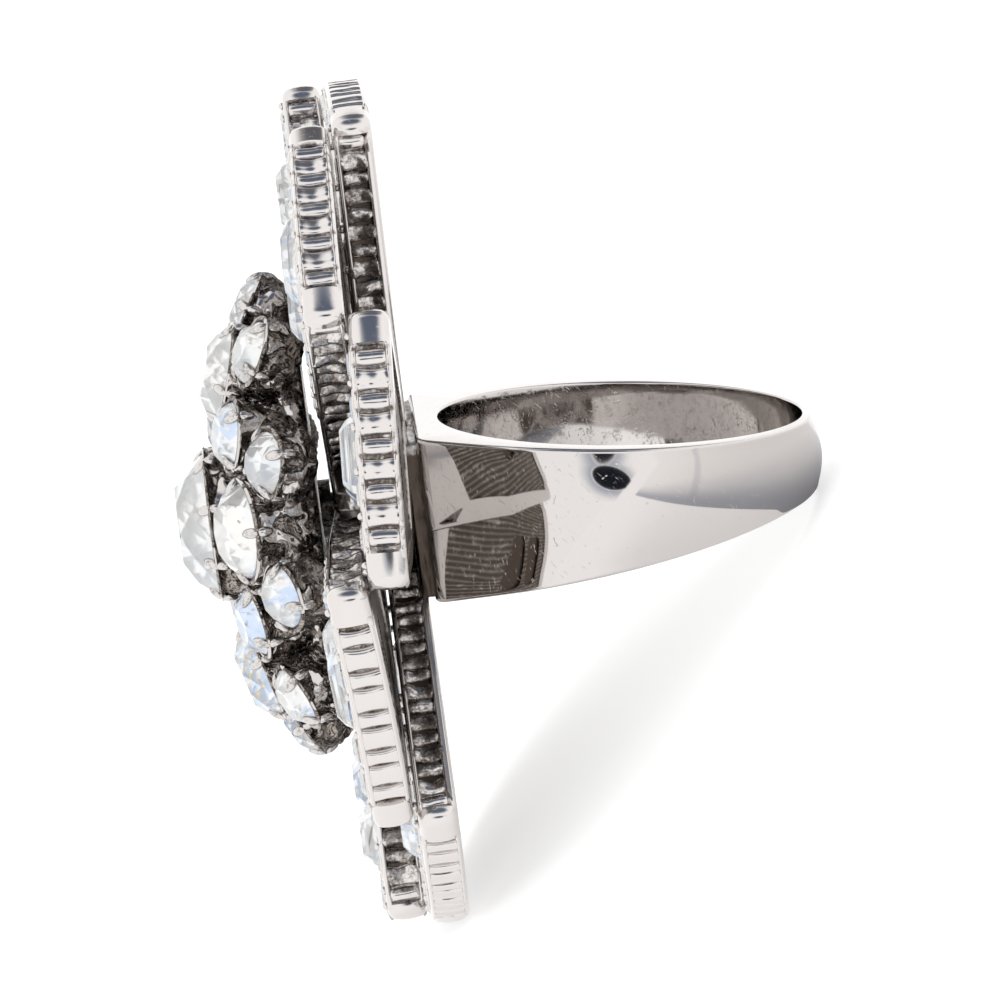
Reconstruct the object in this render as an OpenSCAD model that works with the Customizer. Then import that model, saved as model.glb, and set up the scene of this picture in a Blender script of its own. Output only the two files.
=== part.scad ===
// Statement ring: a tapered finger band under a flower of ten ribbed petals in two layers,
// with a raised dome of round crystals in open cups. All sizes are in millimetres.
// The ring is drawn as worn, finger axis upright and head facing -X, and then leant over
// onto the two points where it rests by itself: its lower back petals and the back of its band.

/* [Band] */
// Inner diameter of the band
finger_d = 17.3; // [15:0.1:20]
// Distance from the back of the head to the far side of the band
band_reach = 19.6; // [18:0.05:22]
// Outer radius of the round part of the band
band_r = 10.15; // [9.8:0.05:11]
// Distance from the back of the head to the centre of the finger hole
hole_x = 10.2; // [9.8:0.05:10.6]
// Height of the band at the head, along the finger
band_h_head = 8.0; // [6:0.1:10]
// Height of the band at its back, along the finger
band_h_back = 3.5; // [2.5:0.1:5]
// Width of the band's flat end at the head
band_end_w = 13.7; // [11:0.1:15]
// Radius of the upright corners of that end
band_corner_r = 1.1; // [0.5:0.05:2]
// Open crevice between the head and the band's end
end_gap = 0.3; // [0.15:0.05:0.6]
// How far the solder that fills the crevice stands back from the band's sides
solder_in = 0.9; // [0.4:0.05:1.2]
// How far it stands back from the band's upper and lower faces
solder_low = 0.15; // [0.1:0.05:0.8]

/* [Petals] */
// Distance from the hub to the corners of a petal's end, along the petal
petal_r = 19.36; // [17:0.02:22]
// Width of a petal across those corners
petal_w = 13.08; // [11:0.02:14]
// Radius of the bowed end of a petal
petal_end_r = 25.5; // [20:0.5:40]
// Radius of a petal's corners
petal_corner_r = 0.7; // [0.4:0.05:1.2]
// Distance from the hub to the bend in a petal's sides
waist_r = 11; // [9:0.1:13]
// Width of a petal at that bend
waist_w = 8.96; // [7:0.02:9.5]
// Width of a petal where it leaves the hub
root_w = 2.1; // [1.8:0.1:2.6]
// Thickness of one layer
layer_t = 1.87; // [1.5:0.01:2.4]
// Height of the smooth lip round the back of a petal
back_lip = 0.4; // [0.2:0.05:0.6]
// Height of the smooth lip round the front of a petal
front_lip = 0.35; // [0.2:0.05:0.6]

/* [Ribs] */
// Width of a broad rib
broad_rib = 1.27; // [0.9:0.01:1.6]
// Width of a slim rib
slim_rib = 0.82; // [0.6:0.01:1.1]
// Width of the groove between two ribs
groove_w = 0.3; // [0.2:0.02:0.4]
// Depth of that groove
groove_deep = 0.34; // [0.15:0.01:0.5]
// How far the ribs stand back from the lips
rib_set_back = 0.08; // [0.02:0.01:0.15]
// Plain length of wall beside each corner of a petal
corner_plain = 1.45; // [1:0.05:2]

/* [Petal crystals] */
// Width of a step-cut crystal, across the petal
baguette_w = 3.76; // [3:0.02:4.2]
// Length of the outer step-cut crystal, along the petal
baguette_l = 2.6; // [2:0.05:3]
// Length of the next one in
second_l = 2.2; // [1.6:0.05:2.6]
// Distance from the hub to the middle of the outer crystal
baguette_r = 16.6; // [15:0.1:17.5]
// Distance from the hub to the middle of the next one in
second_r = 13.9; // [12:0.1:14.5]
// Height of their tables above the petal's face
baguette_rise = 0.85; // [0.5:0.05:1.1]
// Diameter of a small round crystal along a petal's edge
edge_stone_d = 1.5; // [1.2:0.02:1.7]
// Distance from the edge of the petal to the middle of that crystal
edge_stone_in = 1.2; // [1:0.02:1.4]
// The same on the sides of a back petal, which the front petals partly cover
covered_stone_in = 2.3; // [2.1:0.02:2.5]

/* [Cluster] */
// Height of the cluster's back above the back of the head
cluster_a = 4.6; // [4.3:0.05:5]
// Turn of the cluster on the petals
cluster_turn = 7; // [-18:1:18]
// Round crystals in each of the cluster's two rings
ring_count = 10; // [8:2:12]
// Diameter of the outer ring's crystals
outer_d = 3.0; // [2.6:0.05:3.2]
// Diameter of the inner ring's large crystals
inner_large_d = 4.5; // [4:0.05:4.7]
// Diameter of the inner ring's small crystals
inner_small_d = 3.2; // [2.8:0.05:3.6]
// Diameter of the centre crystal
centre_d = 6.85; // [6:0.05:7.4]
// Radius of the outer ring of crystals
outer_ring_r = 10.1; // [9.9:0.05:10.3]
// Height of their girdles above the back of the head
outer_ring_a = 6.7; // [6.5:0.05:6.9]
// Outward lean of those crystals
outer_lean = 30; // [22:1:38]
// Radius of the inner ring of crystals
inner_ring_r = 7.5; // [7.35:0.05:7.65]
// Height of their girdles above the back of the head
inner_ring_a = 8.2; // [8:0.05:8.4]
// Outward lean of those crystals
inner_lean = 17; // [12:1:20]
// Height of the centre crystal's girdle
centre_a = 9.73; // [9.4:0.01:10]
// Thickness of a cup's wall
cup_wall = 0.24; // [0.15:0.01:0.35]

/* [Hidden] */
// Hand-set petals, as [forward bend at the tip, twist at the corners, slide outwards] in mm
back_set = [
    [-0.1, 0.1, 0],
    [0, 0, 0],
    [0, 0, 0],
    [0, 0, 0],
    [0.55, -0.35, 0]];
front_set = [
    [0, 0, 0.3],
    [0, 0, 0],
    [0, 0, -0.45],
    [0.475, 0.425, 0],
    [0, -0.2, 0]];
petal_count = len(back_set);
$fn = 64;
fit_gap = 0.05;
petal_step = 360 / petal_count;
layer_gap = 0.13;
// A petal of the back layer points straight up the finger, and one of the front layer straight down.
back_start = 90;
front_start = back_start + petal_step / 2;
front_a = layer_t + layer_gap;
front_face_a = front_a + layer_t;
silver = "Gainsboro";
dark_silver = "DimGray";
crystal = "AliceBlue";

// Outline of one petal, along +X from the hub. Distances on the side run inwards from the corner.
corner = [petal_r, petal_w / 2];
waist = [waist_r, waist_w / 2];
root_x = 1.6;
root = [root_x, root_w / 2];
end_half_angle = asin(corner.y / petal_end_r);
end_centre_x = corner.x - petal_end_r * cos(end_half_angle);
side_dir = (waist - corner) / norm(waist - corner);
side_len = norm(waist - corner);
flank_dir = (root - waist) / norm(root - waist);
flank_len = norm(root - waist);
side_angle = atan2(-side_dir.y, -side_dir.x);

function on_end(s, deep) =
    let (a = s / petal_end_r * 180 / PI)
    [end_centre_x, 0] + (petal_end_r - deep) * [cos(a), sin(a)];
function on_side(d, deep) = d <= side_len
    ? corner + side_dir * d + [-side_dir.y, side_dir.x] * deep
    : waist + flank_dir * (d - side_len) + [-flank_dir.y, flank_dir.x] * deep;

end_half_len = end_half_angle * PI / 180 * petal_end_r;
rib_pair = broad_rib + slim_rib;
// A slim rib stands in the middle of a petal's end, and a broad one beside each groove pair.
end_pairs = floor((end_half_len - corner_plain - slim_rib / 2) / rib_pair);
end_grooves = concat([slim_rib / 2],
    [for (k = [1:end_pairs], e = [-slim_rib / 2, slim_rib / 2]) k * rib_pair + e]);
// The sides stay plain near the hub, where the next layer and its neighbours hide them.
hub_plain = 1.5;
side_pairs = floor((side_len + flank_len - corner_plain - hub_plain) / rib_pair);
side_grooves = [for (k = [0:side_pairs - 1], e = [0, slim_rib]) corner_plain + k * rib_pair + e];
// Section of a groove, as [place across its width, share of its depth]
groove_shape = [[-0.5, 0], [-0.2, 1], [0.2, 1], [0.5, 0]];
corner_steps = 6;
end_steps = 3;

// Rounded corner: the arc turns from the end's slope to the side's.
function corner_centre(set_back) =
    let (r = petal_corner_r,
         n1 = [cos(end_half_angle), sin(end_half_angle)],
         n2 = [-sin(side_angle), cos(side_angle)],
         across = n1 + n2)
    corner - across * (r + set_back) / (1 + n1 * n2);
function corner_arc(set_back) =
    [for (i = [0:corner_steps])
        let (a = end_half_angle + (90 + side_angle - end_half_angle) * i / corner_steps)
        corner_centre(set_back) + petal_corner_r * [cos(a), sin(a)]];

// Half of a petal's outline, from the middle of its end round to the hub
function half_smooth() = concat(
    [for (i = [0:end_steps]) on_end(i / end_steps * (end_half_len - petal_corner_r), 0)],
    corner_arc(0), [waist, root]);
function half_ribbed() = concat(
    [for (g = end_grooves, p = groove_shape)
        on_end(g + p.x * groove_w, rib_set_back + p.y * groove_deep)],
    corner_arc(rib_set_back),
    [for (g = side_grooves, p = groove_shape)
        on_side(g + p.x * groove_w, rib_set_back + p.y * groove_deep)],
    [root - [0, rib_set_back]]);
function flip(half) = [for (i = [len(half) - 1:-1:0]) [half[i].x, -half[i].y]];
// A petal's outline starts just off the hub's axis, inside the hub's disc, which is a little thinner.
hub_r = 2.6;
hub_start = 0.4;
hub_in = 0.12;
function petal_outline(half) = concat([[hub_start, 0]], flip(half), half);

// Small round crystals stand inside the edge, one to each pair of ribs.
end_stones = 5;
function side_stones(layer) = layer == "back" ? 2 : 4;
function side_stone_in(layer) = layer == "back" ? covered_stone_in : edge_stone_in;
function edge_stones(layer) = concat(
    [for (k = [0:end_stones - 1]) on_end((k - (end_stones - 1) / 2) * rib_pair, edge_stone_in)],
    [for (k = [0:side_stones(layer) - 1], m = [-1, 1])
        let (p = on_side(corner_plain + slim_rib + broad_rib / 2 + k * rib_pair, side_stone_in(layer)))
        [p.x, m * p.y]]);

// Places what is drawn on a petal along +X onto petal k of a layer, with that petal's own set.
module on_petal(layer, k) {
    set = layer == "back" ? back_set[k] : front_set[k];
    start = layer == "back" ? back_start : front_start;
    translate([0, 0, layer == "back" ? 0 : front_a])
        rotate([0, 0, start + k * petal_step])
            rotate([atan(set[1] / corner.y), -atan(set[0] / petal_tip), 0])
                translate([set[2], 0, 0]) children();
}

// Head placed as worn: its axis along -X, its first petal up the finger
module head_frame() rotate([90, 0, -90]) children();

// Leaning pose: the lower corner of a back petal and the lower back edge of the band touch the floor.
low_petal = corner_centre(0);
petal_low = -(low_petal.x * sin(petal_step * 0.75) + low_petal.y * cos(petal_step * 0.75)) - petal_corner_r;
rest_tilt = atan2(-petal_low - band_h_back / 2, band_reach);
petal_tip = end_centre_x + petal_end_r;
rest_drop = -petal_low * cos(rest_tilt);
rest_right = band_reach * cos(rest_tilt) + band_h_back / 2 * sin(rest_tilt);
// The front petal that points straight down reaches furthest to the other side.
down_petal = 2;
rest_left = -(front_face_a * cos(rest_tilt) + (petal_tip + front_set[down_petal].z) * sin(rest_tilt));
module at_rest()
    translate([-(rest_right + rest_left) / 2, 0, rest_drop]) rotate([0, rest_tilt, 0]) children();

// Band seen along the finger: a circle run out in straight lines to its flat end
band_centre = [band_reach - band_r, 0];
end_corner = [end_gap + band_corner_r, band_end_w / 2 - band_corner_r];
to_corner = end_corner - band_centre;
touch_angle = atan2(to_corner.y, to_corner.x) - acos((band_r - band_corner_r) / norm(to_corner));
touch_dir = [cos(touch_angle), sin(touch_angle)];
bore_h = band_h_head + 4;
solder_reach = 1.1;
solder_root = 0.25;
// Height of the tapering band at a distance from the head
function band_h(x) = band_h_head - (band_h_head - band_h_back) * x / band_reach;
module band_plan() {
    half = [[end_gap, 0], [end_gap, end_corner.y], end_corner + band_corner_r * touch_dir,
            band_centre + band_r * touch_dir];
    translate(band_centre) circle(r = band_r, $fn = 128);
    for (m = [0, 1]) mirror([0, m]) {
        translate(end_corner) circle(r = band_corner_r);
        polygon(concat(half, [[band_centre.x, 0]]));
    }
}
module band_side()
    let (far = band_reach + 1)
    polygon([[0, band_h(0) / 2], [0, -band_h(0) / 2], [far, -band_h(far) / 2], [far, band_h(far) / 2]]);
solder = [solder_reach, band_end_w - 2 * solder_in, band_h(solder_reach) - 2 * solder_low];
module band() difference() {
    union() {
        intersection() {
            linear_extrude(band_h_head + 1, center = true) band_plan();
            rotate([90, 0, 0]) linear_extrude(2 * band_r + 2, center = true) band_side();
        }
        translate([-solder_root, -solder.y / 2, -solder.z / 2])
            cube([solder.x + solder_root, solder.y, solder.z]);
    }
    translate([hole_x, 0, 0]) cylinder(d = finger_d, h = bore_h, center = true, $fn = 128);
}

pocket_deep = 0.62;
module petal_body() {
    linear_extrude(layer_t) polygon(petal_outline(half_ribbed()));
    linear_extrude(back_lip) polygon(petal_outline(half_smooth()));
    translate([0, 0, layer_t - front_lip])
        linear_extrude(front_lip) polygon(petal_outline(half_smooth()));
}
module petal_pockets(layer) translate([0, 0, layer_t - pocket_deep]) {
    for (p = edge_stones(layer))
        translate(p) cylinder(d = edge_stone_d + 2 * fit_gap, h = layer_t, $fn = 24);
    // Step-cut crystals of the petal, as [distance from the hub, length]
    for (b = [[baguette_r, baguette_l], [second_r, second_l]])
        translate([b.x - b.y / 2 - fit_gap, -baguette_w / 2 - fit_gap, 0])
            cube([b.y + 2 * fit_gap, baguette_w + 2 * fit_gap, layer_t]);
}
module rosette(layer) difference() {
    union() {
        for (k = [0:petal_count - 1]) on_petal(layer, k) petal_body();
        translate([0, 0, (layer == "back" ? 0 : front_a) + hub_in])
            cylinder(r = hub_r, h = layer_t - 2 * hub_in);
    }
    for (k = [0:petal_count - 1]) on_petal(layer, k) petal_pockets(layer);
}

// Post between the rosettes and the cluster, riveted down through both layers
post_r = 1.45;
post_a = front_face_a + 0.12;
rivet_r = 0.8;
rivet_a = 0.3;
module post_shape() {
    translate([0, 0, post_a]) cylinder(r = post_r, h = cluster_a - post_a - fit_gap);
    translate([0, 0, rivet_a]) cylinder(r = rivet_r, h = cluster_a - rivet_a - fit_gap);
}
module rivet_hole()
    translate([0, 0, rivet_a - fit_gap]) cylinder(r = rivet_r + fit_gap, h = 2 * cluster_a);

module ring_frame() color(silver) at_rest() {
    difference() {
        union() {
            band();
            head_frame() rosette("back");
        }
        head_frame() rivet_hole();
    }
}
module front_rosette() color(silver) at_rest() head_frame() difference() {
    rosette("front");
    rivet_hole();
}
module centre_post() color(dark_silver) at_rest() head_frame() post_shape();

// Round cut: table, crown and pavilion facets in eights, as a hull of its corners
crown_part = 0.22;
table_part = 0.58;
pavilion_part = 0.36;
girdle_part = 0.02;
module stone_from(points) hull() polyhedron(points, [[for (i = [0:len(points) - 1]) i]]);
function circle_points(r, z, n, phase) =
    [for (i = [0:n - 1]) [r * cos(i * 360 / n + phase), r * sin(i * 360 / n + phase), z]];
module round_stone(d) {
    r = d / 2;
    table_r = r * table_part;
    // Corners between the table and the girdle stand a little proud of the straight line.
    mid_r = (r + table_r) / 2 * 1.03;
    crown_h = d * crown_part;
    mid_h = crown_h * (1 - (mid_r * cos(22.5) - table_r) / (r - table_r));
    girdle = d * girdle_part;
    stone_from(concat(
        circle_points(table_r, crown_h + girdle, 8, 0),
        circle_points(mid_r, mid_h + girdle, 8, 22.5),
        circle_points(r, girdle, 16, 0),
        circle_points(r, -girdle, 16, 0),
        circle_points(r * 0.62, -girdle - d * pavilion_part / 2, 8, 22.5),
        circle_points(r * 0.12, -girdle - d * pavilion_part, 8, 0)));
}

// Step cut: oblong with clipped corners, in rows of [less length, less width, corner clipped, height]
step_rows = [
    [1.1, 1.3, 0.2, baguette_rise],
    [0.45, 0.5, 0.3, baguette_rise * 0.62],
    [0, 0, 0.35, 0.08],
    [0, 0, 0.35, -0.1],
    [0.8, 0.9, 0.25, fit_gap - pocket_deep]];
function clipped(l, w, c, z) =
    [for (m = [[1, 1], [-1, 1], [-1, -1], [1, -1]], e = [[0, c], [c, 0]])
        [m.x * (l / 2 - e.x), m.y * (w / 2 - e.y), z]];
module step_stone(l) translate([0, 0, layer_t])
    stone_from([for (row = step_rows, p = clipped(l - row[0], baguette_w - row[1], row[2], row[3])) p]);
// Small round cut, in rows of [radius as a share of its diameter, height]
edge_rows = [[0.3, 0.2], [0.5, -0.02], [0.22, fit_gap - pocket_deep]];
module edge_stone() translate([0, 0, layer_t])
    stone_from([for (row = edge_rows, p = circle_points(edge_stone_d * row[0], row[1], 8, 0)) p]);

module petal_stone(layer, k) color(crystal) at_rest() head_frame()
    on_petal(layer, k) translate([baguette_r, 0, 0]) step_stone(baguette_l);
module accent_stones(layer) color(crystal) at_rest() head_frame()
    for (k = [0:petal_count - 1]) on_petal(layer, k) {
        translate([second_r, 0, 0]) step_stone(second_l);
        for (p = edge_stones(layer)) translate(p) edge_stone();
    }

// Cluster: each crystal sits at a radius and height, leaning outwards, in a cup of its own.
ring_step = 360 / ring_count;
function inner_d(i) = i % 2 == 0 ? inner_large_d : inner_small_d;
module at_outer(i) rotate([0, 0, cluster_turn + (i + 0.5) * ring_step])
    translate([outer_ring_r, 0, outer_ring_a]) rotate([0, outer_lean, 0]) children();
module at_inner(i) rotate([0, 0, cluster_turn + i * ring_step])
    translate([inner_ring_r, 0, inner_ring_a]) rotate([0, inner_lean, 0]) children();
module at_centre() translate([0, 0, centre_a]) children();

outer_cup_h = 1.7;
inner_cup_h = 2.4;
centre_cup_h = 3;
cup_rim = 0.1;
prong_r = 0.27;
prong_h = 1;
prong_lift = 0.25;
module cup(d, deep, prong_count, phase = 0) {
    translate([0, 0, -deep]) cylinder(d = d + 2 * (cup_wall + fit_gap), h = deep + cup_rim);
    for (j = [0:prong_count - 1])
        rotate([0, 0, phase + j * 360 / prong_count]) translate([d / 2 + fit_gap + prong_r * 0.9, 0, 0]) {
            translate([0, 0, -prong_h]) cylinder(r = prong_r * 0.8, h = prong_h + prong_lift, $fn = 24);
            translate([0, 0, prong_lift]) sphere(r = prong_r, $fn = 24);
        }
}
// Room for a crystal: down past its point, and up past its table
module pocket(d) translate([0, 0, -d * (pavilion_part + girdle_part) - 0.08])
    cylinder(d = d + 2 * fit_gap, h = d);

// Profile of the dome, as [radius, height above its back]
dome = [[0, 0], [9.9, 0], [10.4, 0.4], [10.5, 0.9], [9.3, 2.1], [6.2, 3.3], [3.6, 4], [0, 4]];
module cluster_basket() color(dark_silver) at_rest() head_frame() difference() {
    union() {
        translate([0, 0, cluster_a]) rotate_extrude($fn = 96) polygon(dome);
        for (i = [0:ring_count - 1]) {
            at_outer(i) cup(outer_d, outer_cup_h, 4);
            at_inner(i) cup(inner_d(i), inner_cup_h, 4);
        }
        at_centre() cup(centre_d, centre_cup_h, 8, 22.5);
    }
    for (i = [0:ring_count - 1]) {
        at_outer(i) pocket(outer_d);
        at_inner(i) pocket(inner_d(i));
    }
    at_centre() pocket(centre_d);
}
module centre_stone() color(crystal) at_rest() head_frame()
    at_centre() round_stone(centre_d);

ring_frame();
front_rosette();
centre_post();
cluster_basket();
centre_stone();
for (i = [1:ring_count]) {
    color(crystal) at_rest() head_frame() at_inner(i - 1) round_stone(inner_d(i - 1));
    color(crystal) at_rest() head_frame() at_outer(i - 1) round_stone(outer_d);
}
for (i = [1:2 * petal_count])
    petal_stone(i <= petal_count ? "back" : "front", (i - 1) % petal_count);
accent_stones("back");  // back_accent_stones
accent_stones("front");  // front_accent_stones
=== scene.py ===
"""Looks of the statement ring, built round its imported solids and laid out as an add-on.

Sizes are in millimetres, in the head's own frame: X and Y lie in the plane of the petals and Z runs
out through the crystals. The band is drawn as worn, with the finger along Z and the head towards -X.
"""

from math import acos, asin, atan, atan2, cos, pi, radians, sin

import bmesh
import bpy
from bpy.props import FloatProperty, FloatVectorProperty, IntProperty, PointerProperty
from bpy.types import Operator, Panel, PropertyGroup
from mathutils import Euler, Matrix, Vector, noise
from mathutils.geometry import delaunay_2d_cdt


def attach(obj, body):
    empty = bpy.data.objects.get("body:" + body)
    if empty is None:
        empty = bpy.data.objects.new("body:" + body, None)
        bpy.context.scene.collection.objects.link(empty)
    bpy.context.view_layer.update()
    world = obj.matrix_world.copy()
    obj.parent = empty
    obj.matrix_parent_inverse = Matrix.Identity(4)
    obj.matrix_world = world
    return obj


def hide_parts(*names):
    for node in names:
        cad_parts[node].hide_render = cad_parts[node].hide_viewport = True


bl_info = {
    "name": "Statement ring",
    "version": (1, 0, 0),
    "blender": (4, 5, 0),
    "location": "View3D > Sidebar > Ring",
    "description": "Band, ribbed petals, crystal cluster and stage of a statement ring",
    "category": "Add Mesh",
}

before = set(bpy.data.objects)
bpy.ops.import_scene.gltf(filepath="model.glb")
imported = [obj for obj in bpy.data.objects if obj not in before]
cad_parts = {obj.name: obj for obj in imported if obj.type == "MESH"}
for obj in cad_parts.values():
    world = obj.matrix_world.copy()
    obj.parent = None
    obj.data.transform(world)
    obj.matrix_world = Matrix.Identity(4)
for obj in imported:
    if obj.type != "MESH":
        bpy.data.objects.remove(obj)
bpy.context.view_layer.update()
MM = 0.001

# Where the ring rests, and the frames that its pieces are drawn in
REST_TILT = radians(41.8509)
REST_SHIFT = Vector((0.150556, 0.0, 14.3806))
AT_REST = Matrix.Translation(REST_SHIFT) @ Matrix.Rotation(REST_TILT, 4, "Y")
HEAD = AT_REST @ Matrix.Rotation(radians(-90), 4, "Z") @ Matrix.Rotation(radians(90), 4, "X")

VIEW_TARGET = Vector((4.01, 0.0, -0.647))
RING_CENTRE = Vector((0.0, 0.0, 0.015))

# Petals
LAYER_T = 1.87
FRONT_A = 2.0
PETALS = 5
PETAL_R, PETAL_W = 19.36, 13.08
END_R = 25.5
CORNER_R = 0.7
WAIST = Vector((11.0, 4.48))
ROOT = Vector((1.6, 1.05))
HUB_R = 2.6
HUB_START = 0.4
HUB_IN = 0.12
BACK_START, FRONT_START = 90.0, 126.0
# Petals set one by one: forward bend at the tip, twist at the corners, slide outwards
HAND_SET = {
    "back": [(-0.1, 0.1, 0.0), (0, 0, 0), (0, 0, 0), (0, 0, 0), (0.55, -0.35, 0.0)],
    "front": [(0, 0, 0.3), (0, 0, 0), (0, 0, -0.45), (0.475, 0.425, 0), (0, -0.2, 0)],
}
BROAD_RIB, SLIM_RIB = 1.27, 0.82
RIB_PAIR = BROAD_RIB + SLIM_RIB
CORNER_PLAIN = 1.45
HUB_PLAIN = 1.5
BEAD_IN = 0.75

CORNER = Vector((PETAL_R, PETAL_W / 2))
END_HALF = asin(CORNER.y / END_R)
END_X = CORNER.x - END_R * cos(END_HALF)
END_HALF_LEN = END_HALF * END_R
PETAL_TIP = END_X + END_R
SIDE_DIR = (WAIST - CORNER).normalized()
SIDE_LEN = (WAIST - CORNER).length
FLANK_DIR = (ROOT - WAIST).normalized()
FLANK_LEN = (ROOT - WAIST).length
SIDE_ANGLE = atan2(-SIDE_DIR.y, -SIDE_DIR.x)
END_NORMAL = Vector((cos(END_HALF), sin(END_HALF)))
SIDE_NORMAL = Vector((-sin(SIDE_ANGLE), cos(SIDE_ANGLE)))
FLANK_NORMAL = Vector((FLANK_DIR.y, -FLANK_DIR.x))
CORNER_CENTRE = CORNER - (END_NORMAL + SIDE_NORMAL) * (CORNER_R / (1 + END_NORMAL.dot(SIDE_NORMAL)))

# Ribs on a petal's sides: length of a pair, and where its slim and its broad rib stand in it
SIDE_PAIR = 1.84
SIDE_SLIM_AT, SIDE_BROAD_AT = 0.42, 1.32
# Where the plain corner starts on a petal's end, from its middle, and stops on its side
PLAIN_END, PLAIN_SIDE = 4.78, 0.83
# Section of a petal's wall from its back to its front: height, inward at a rib, inward at a plain
# corner, and darkening, which is tarnish and painted shade, darkest on the wall's floor between the ribs
WALL = [
    (0.0, 0.34, 0.58, 0.0), (0.015, 0.20, 0.45, 0.0), (0.06, 0.09, 0.33, 0.0), (0.12, 0.02, 0.24, 0.0),
    (0.17, 0.0, 0.18, 0.0), (0.22, 0.03, 0.14, 0.15), (0.27, 0.14, 0.11, 0.6), (0.33, 0.30, 0.08, 1.0),
    (0.62, 0.33, 0.02, 1.0), (0.935, 0.33, 0.0, 1.0), (1.25, 0.33, 0.02, 1.0), (1.54, 0.30, 0.08, 1.0),
    (1.60, 0.14, 0.11, 0.6), (1.65, 0.03, 0.14, 0.15), (1.70, 0.0, 0.18, 0.0), (1.75, 0.02, 0.24, 0.0),
    (1.81, 0.09, 0.33, 0.0), (1.855, 0.20, 0.45, 0.0), (1.87, 0.34, 0.58, 0.0), (1.83, 0.44, 0.64, 0.2),
    (1.72, 0.5, 0.68, 0.7)]
BACK_LIP = 0.2
# Notches that the grooves between dished ribs leave in a petal's lips
NOTCH, NOTCH_HALF = 0.13, 0.28
FACE_Z = WALL[-1][0]
# Field sunk in a petal's back: its depth and distance from the edge, where its sides have points,
# and the depth of its windows
FIELD_Z, FIELD_IN = 0.14, 1.15
FIELD_SIDE = (1.6, 4.0, 6.4, 8.8, 11.2)
WINDOW_Z = 0.45
# Tarnish on a petal's bright border, in its sunken field, on its face and behind its crystals
BRIGHT, DULL, FACE_DULL, HIDDEN = 0.12, 0.75, 0.5, 1.0
BORDER_ENDS = 5.0
# Rib style of each petal, from the photograph: 0 dished and bright, 1 flat
STYLES = {"back": (1, 0, 0, 1, 0), "front": (0, 0, 1, 1, 0)}
# Petals that are bowed back between their corners
BOW = {("front", 3): -0.2}

# Crystals and their cups
BAGUETTE_W, BAGUETTE_L, SECOND_L = 3.76, 2.6, 2.2
BAGUETTE_R, SECOND_R = 16.6, 13.9
STEP_CUT = ((BAGUETTE_R, BAGUETTE_L), (SECOND_R, SECOND_L))
BAGUETTE_RISE = 0.85
POCKET_DEEP = 0.62
EDGE_D, EDGE_IN, COVERED_IN = 1.5, 1.2, 2.3
EDGE_PER_SIDE = {"back": 2, "front": 4}
FIT = 0.05
CLUSTER_A = 4.6
CLUSTER_TURN = 7.0
RING_COUNT = 10
CENTRE_D, OUTER_D = 6.85, 3.0
OUTER_R, OUTER_A, OUTER_LEAN = 10.1, 6.7, 30.0
INNER_R, INNER_A, INNER_LEAN = 7.5, 8.2, 17.0
CENTRE_A = 9.73
CUP_WALL = 0.24
CENTRE_CUP, OUTER_CUP = 3.0, 2.1
# The inner ring's crystals, large and small by turns: diameter, depth of the cup
LARGE_SEAT, SMALL_SEAT = (4.5, 3.3), (3.2, 2.6)
# A round crystal's cut, as shares of its diameter; its table is a share of its radius
CROWN, TABLE, PAVILION, GIRDLE = 0.22, 0.58, 0.36, 0.02

# Band
FINGER_R = 8.65
BAND_REACH = 19.6
BAND_R = 10.15
HOLE = Vector((10.2, 0.0))
BAND_H_HEAD, BAND_H_BACK = 8.0, 3.5
BAND_END_W = 13.7
BAND_CORNER_R = 1.1
END_GAP = 0.3
BAND_DOME = 0.32
# Rounding of the band's outer and inner edges
EDGE, INNER_EDGE = 0.2, 0.12
# Points of the band's section: across its outer side, round an edge, across its inner side
OUTER_STEPS, EDGE_STEPS, INNER_STEPS = 12, 6, 8
INNER_STAIN = 0.24
SOLDER_LOW, SOLDER_HIGH = Vector((-0.2, -5.95, -3.72)), Vector((0.95, 5.95, 3.72))

# Studio cards that show in the metal: name, degrees right of the camera and above it, metres from
# the ring, half width and height in metres, tone, and the share of the card that fades to white
CARDS = [
    ("lens_card", 4.5, -5.5, 0.15, (0.027, 0.0148), (0.012, 0.014, 0.02), 0.12),
    ("halo_card", 3, -5.5, 0.17, (0.05, 0.033), (0.44, 0.48, 0.56), 0.5),
    ("front_card", -4, 47, 0.3, (0.17, 0.17), (0.11, 0.135, 0.19), 0.6),
    ("over_card", 0, 92, 0.3, (0.16, 0.24), (0.12, 0.13, 0.16), 0.7),
    ("rear_card", 180, 66, 0.3, (0.16, 0.12), (0.12, 0.12, 0.13), 0.7),
]
CARD_WHITE = (0.97, 0.97, 0.97)
# Grey paper on the table beside the ring, in metres
PAPER = [(0, -0.060), (0.030, -0.060), (0.030, 0.004), (0, 0.004)]
PAPER_AT = Vector((0.0122, 0, 0.0002))
PAPER_DARK, PAPER_PALE = (0.46, 0.48, 0.53), (0.97, 0.96, 0.96)
FLOOR_HALF = 4.0
FLOOR_TONE, FLOOR_GLOW, STUDIO_LIGHT = 0.62, 0.86, 1.35


# Node trees

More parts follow.
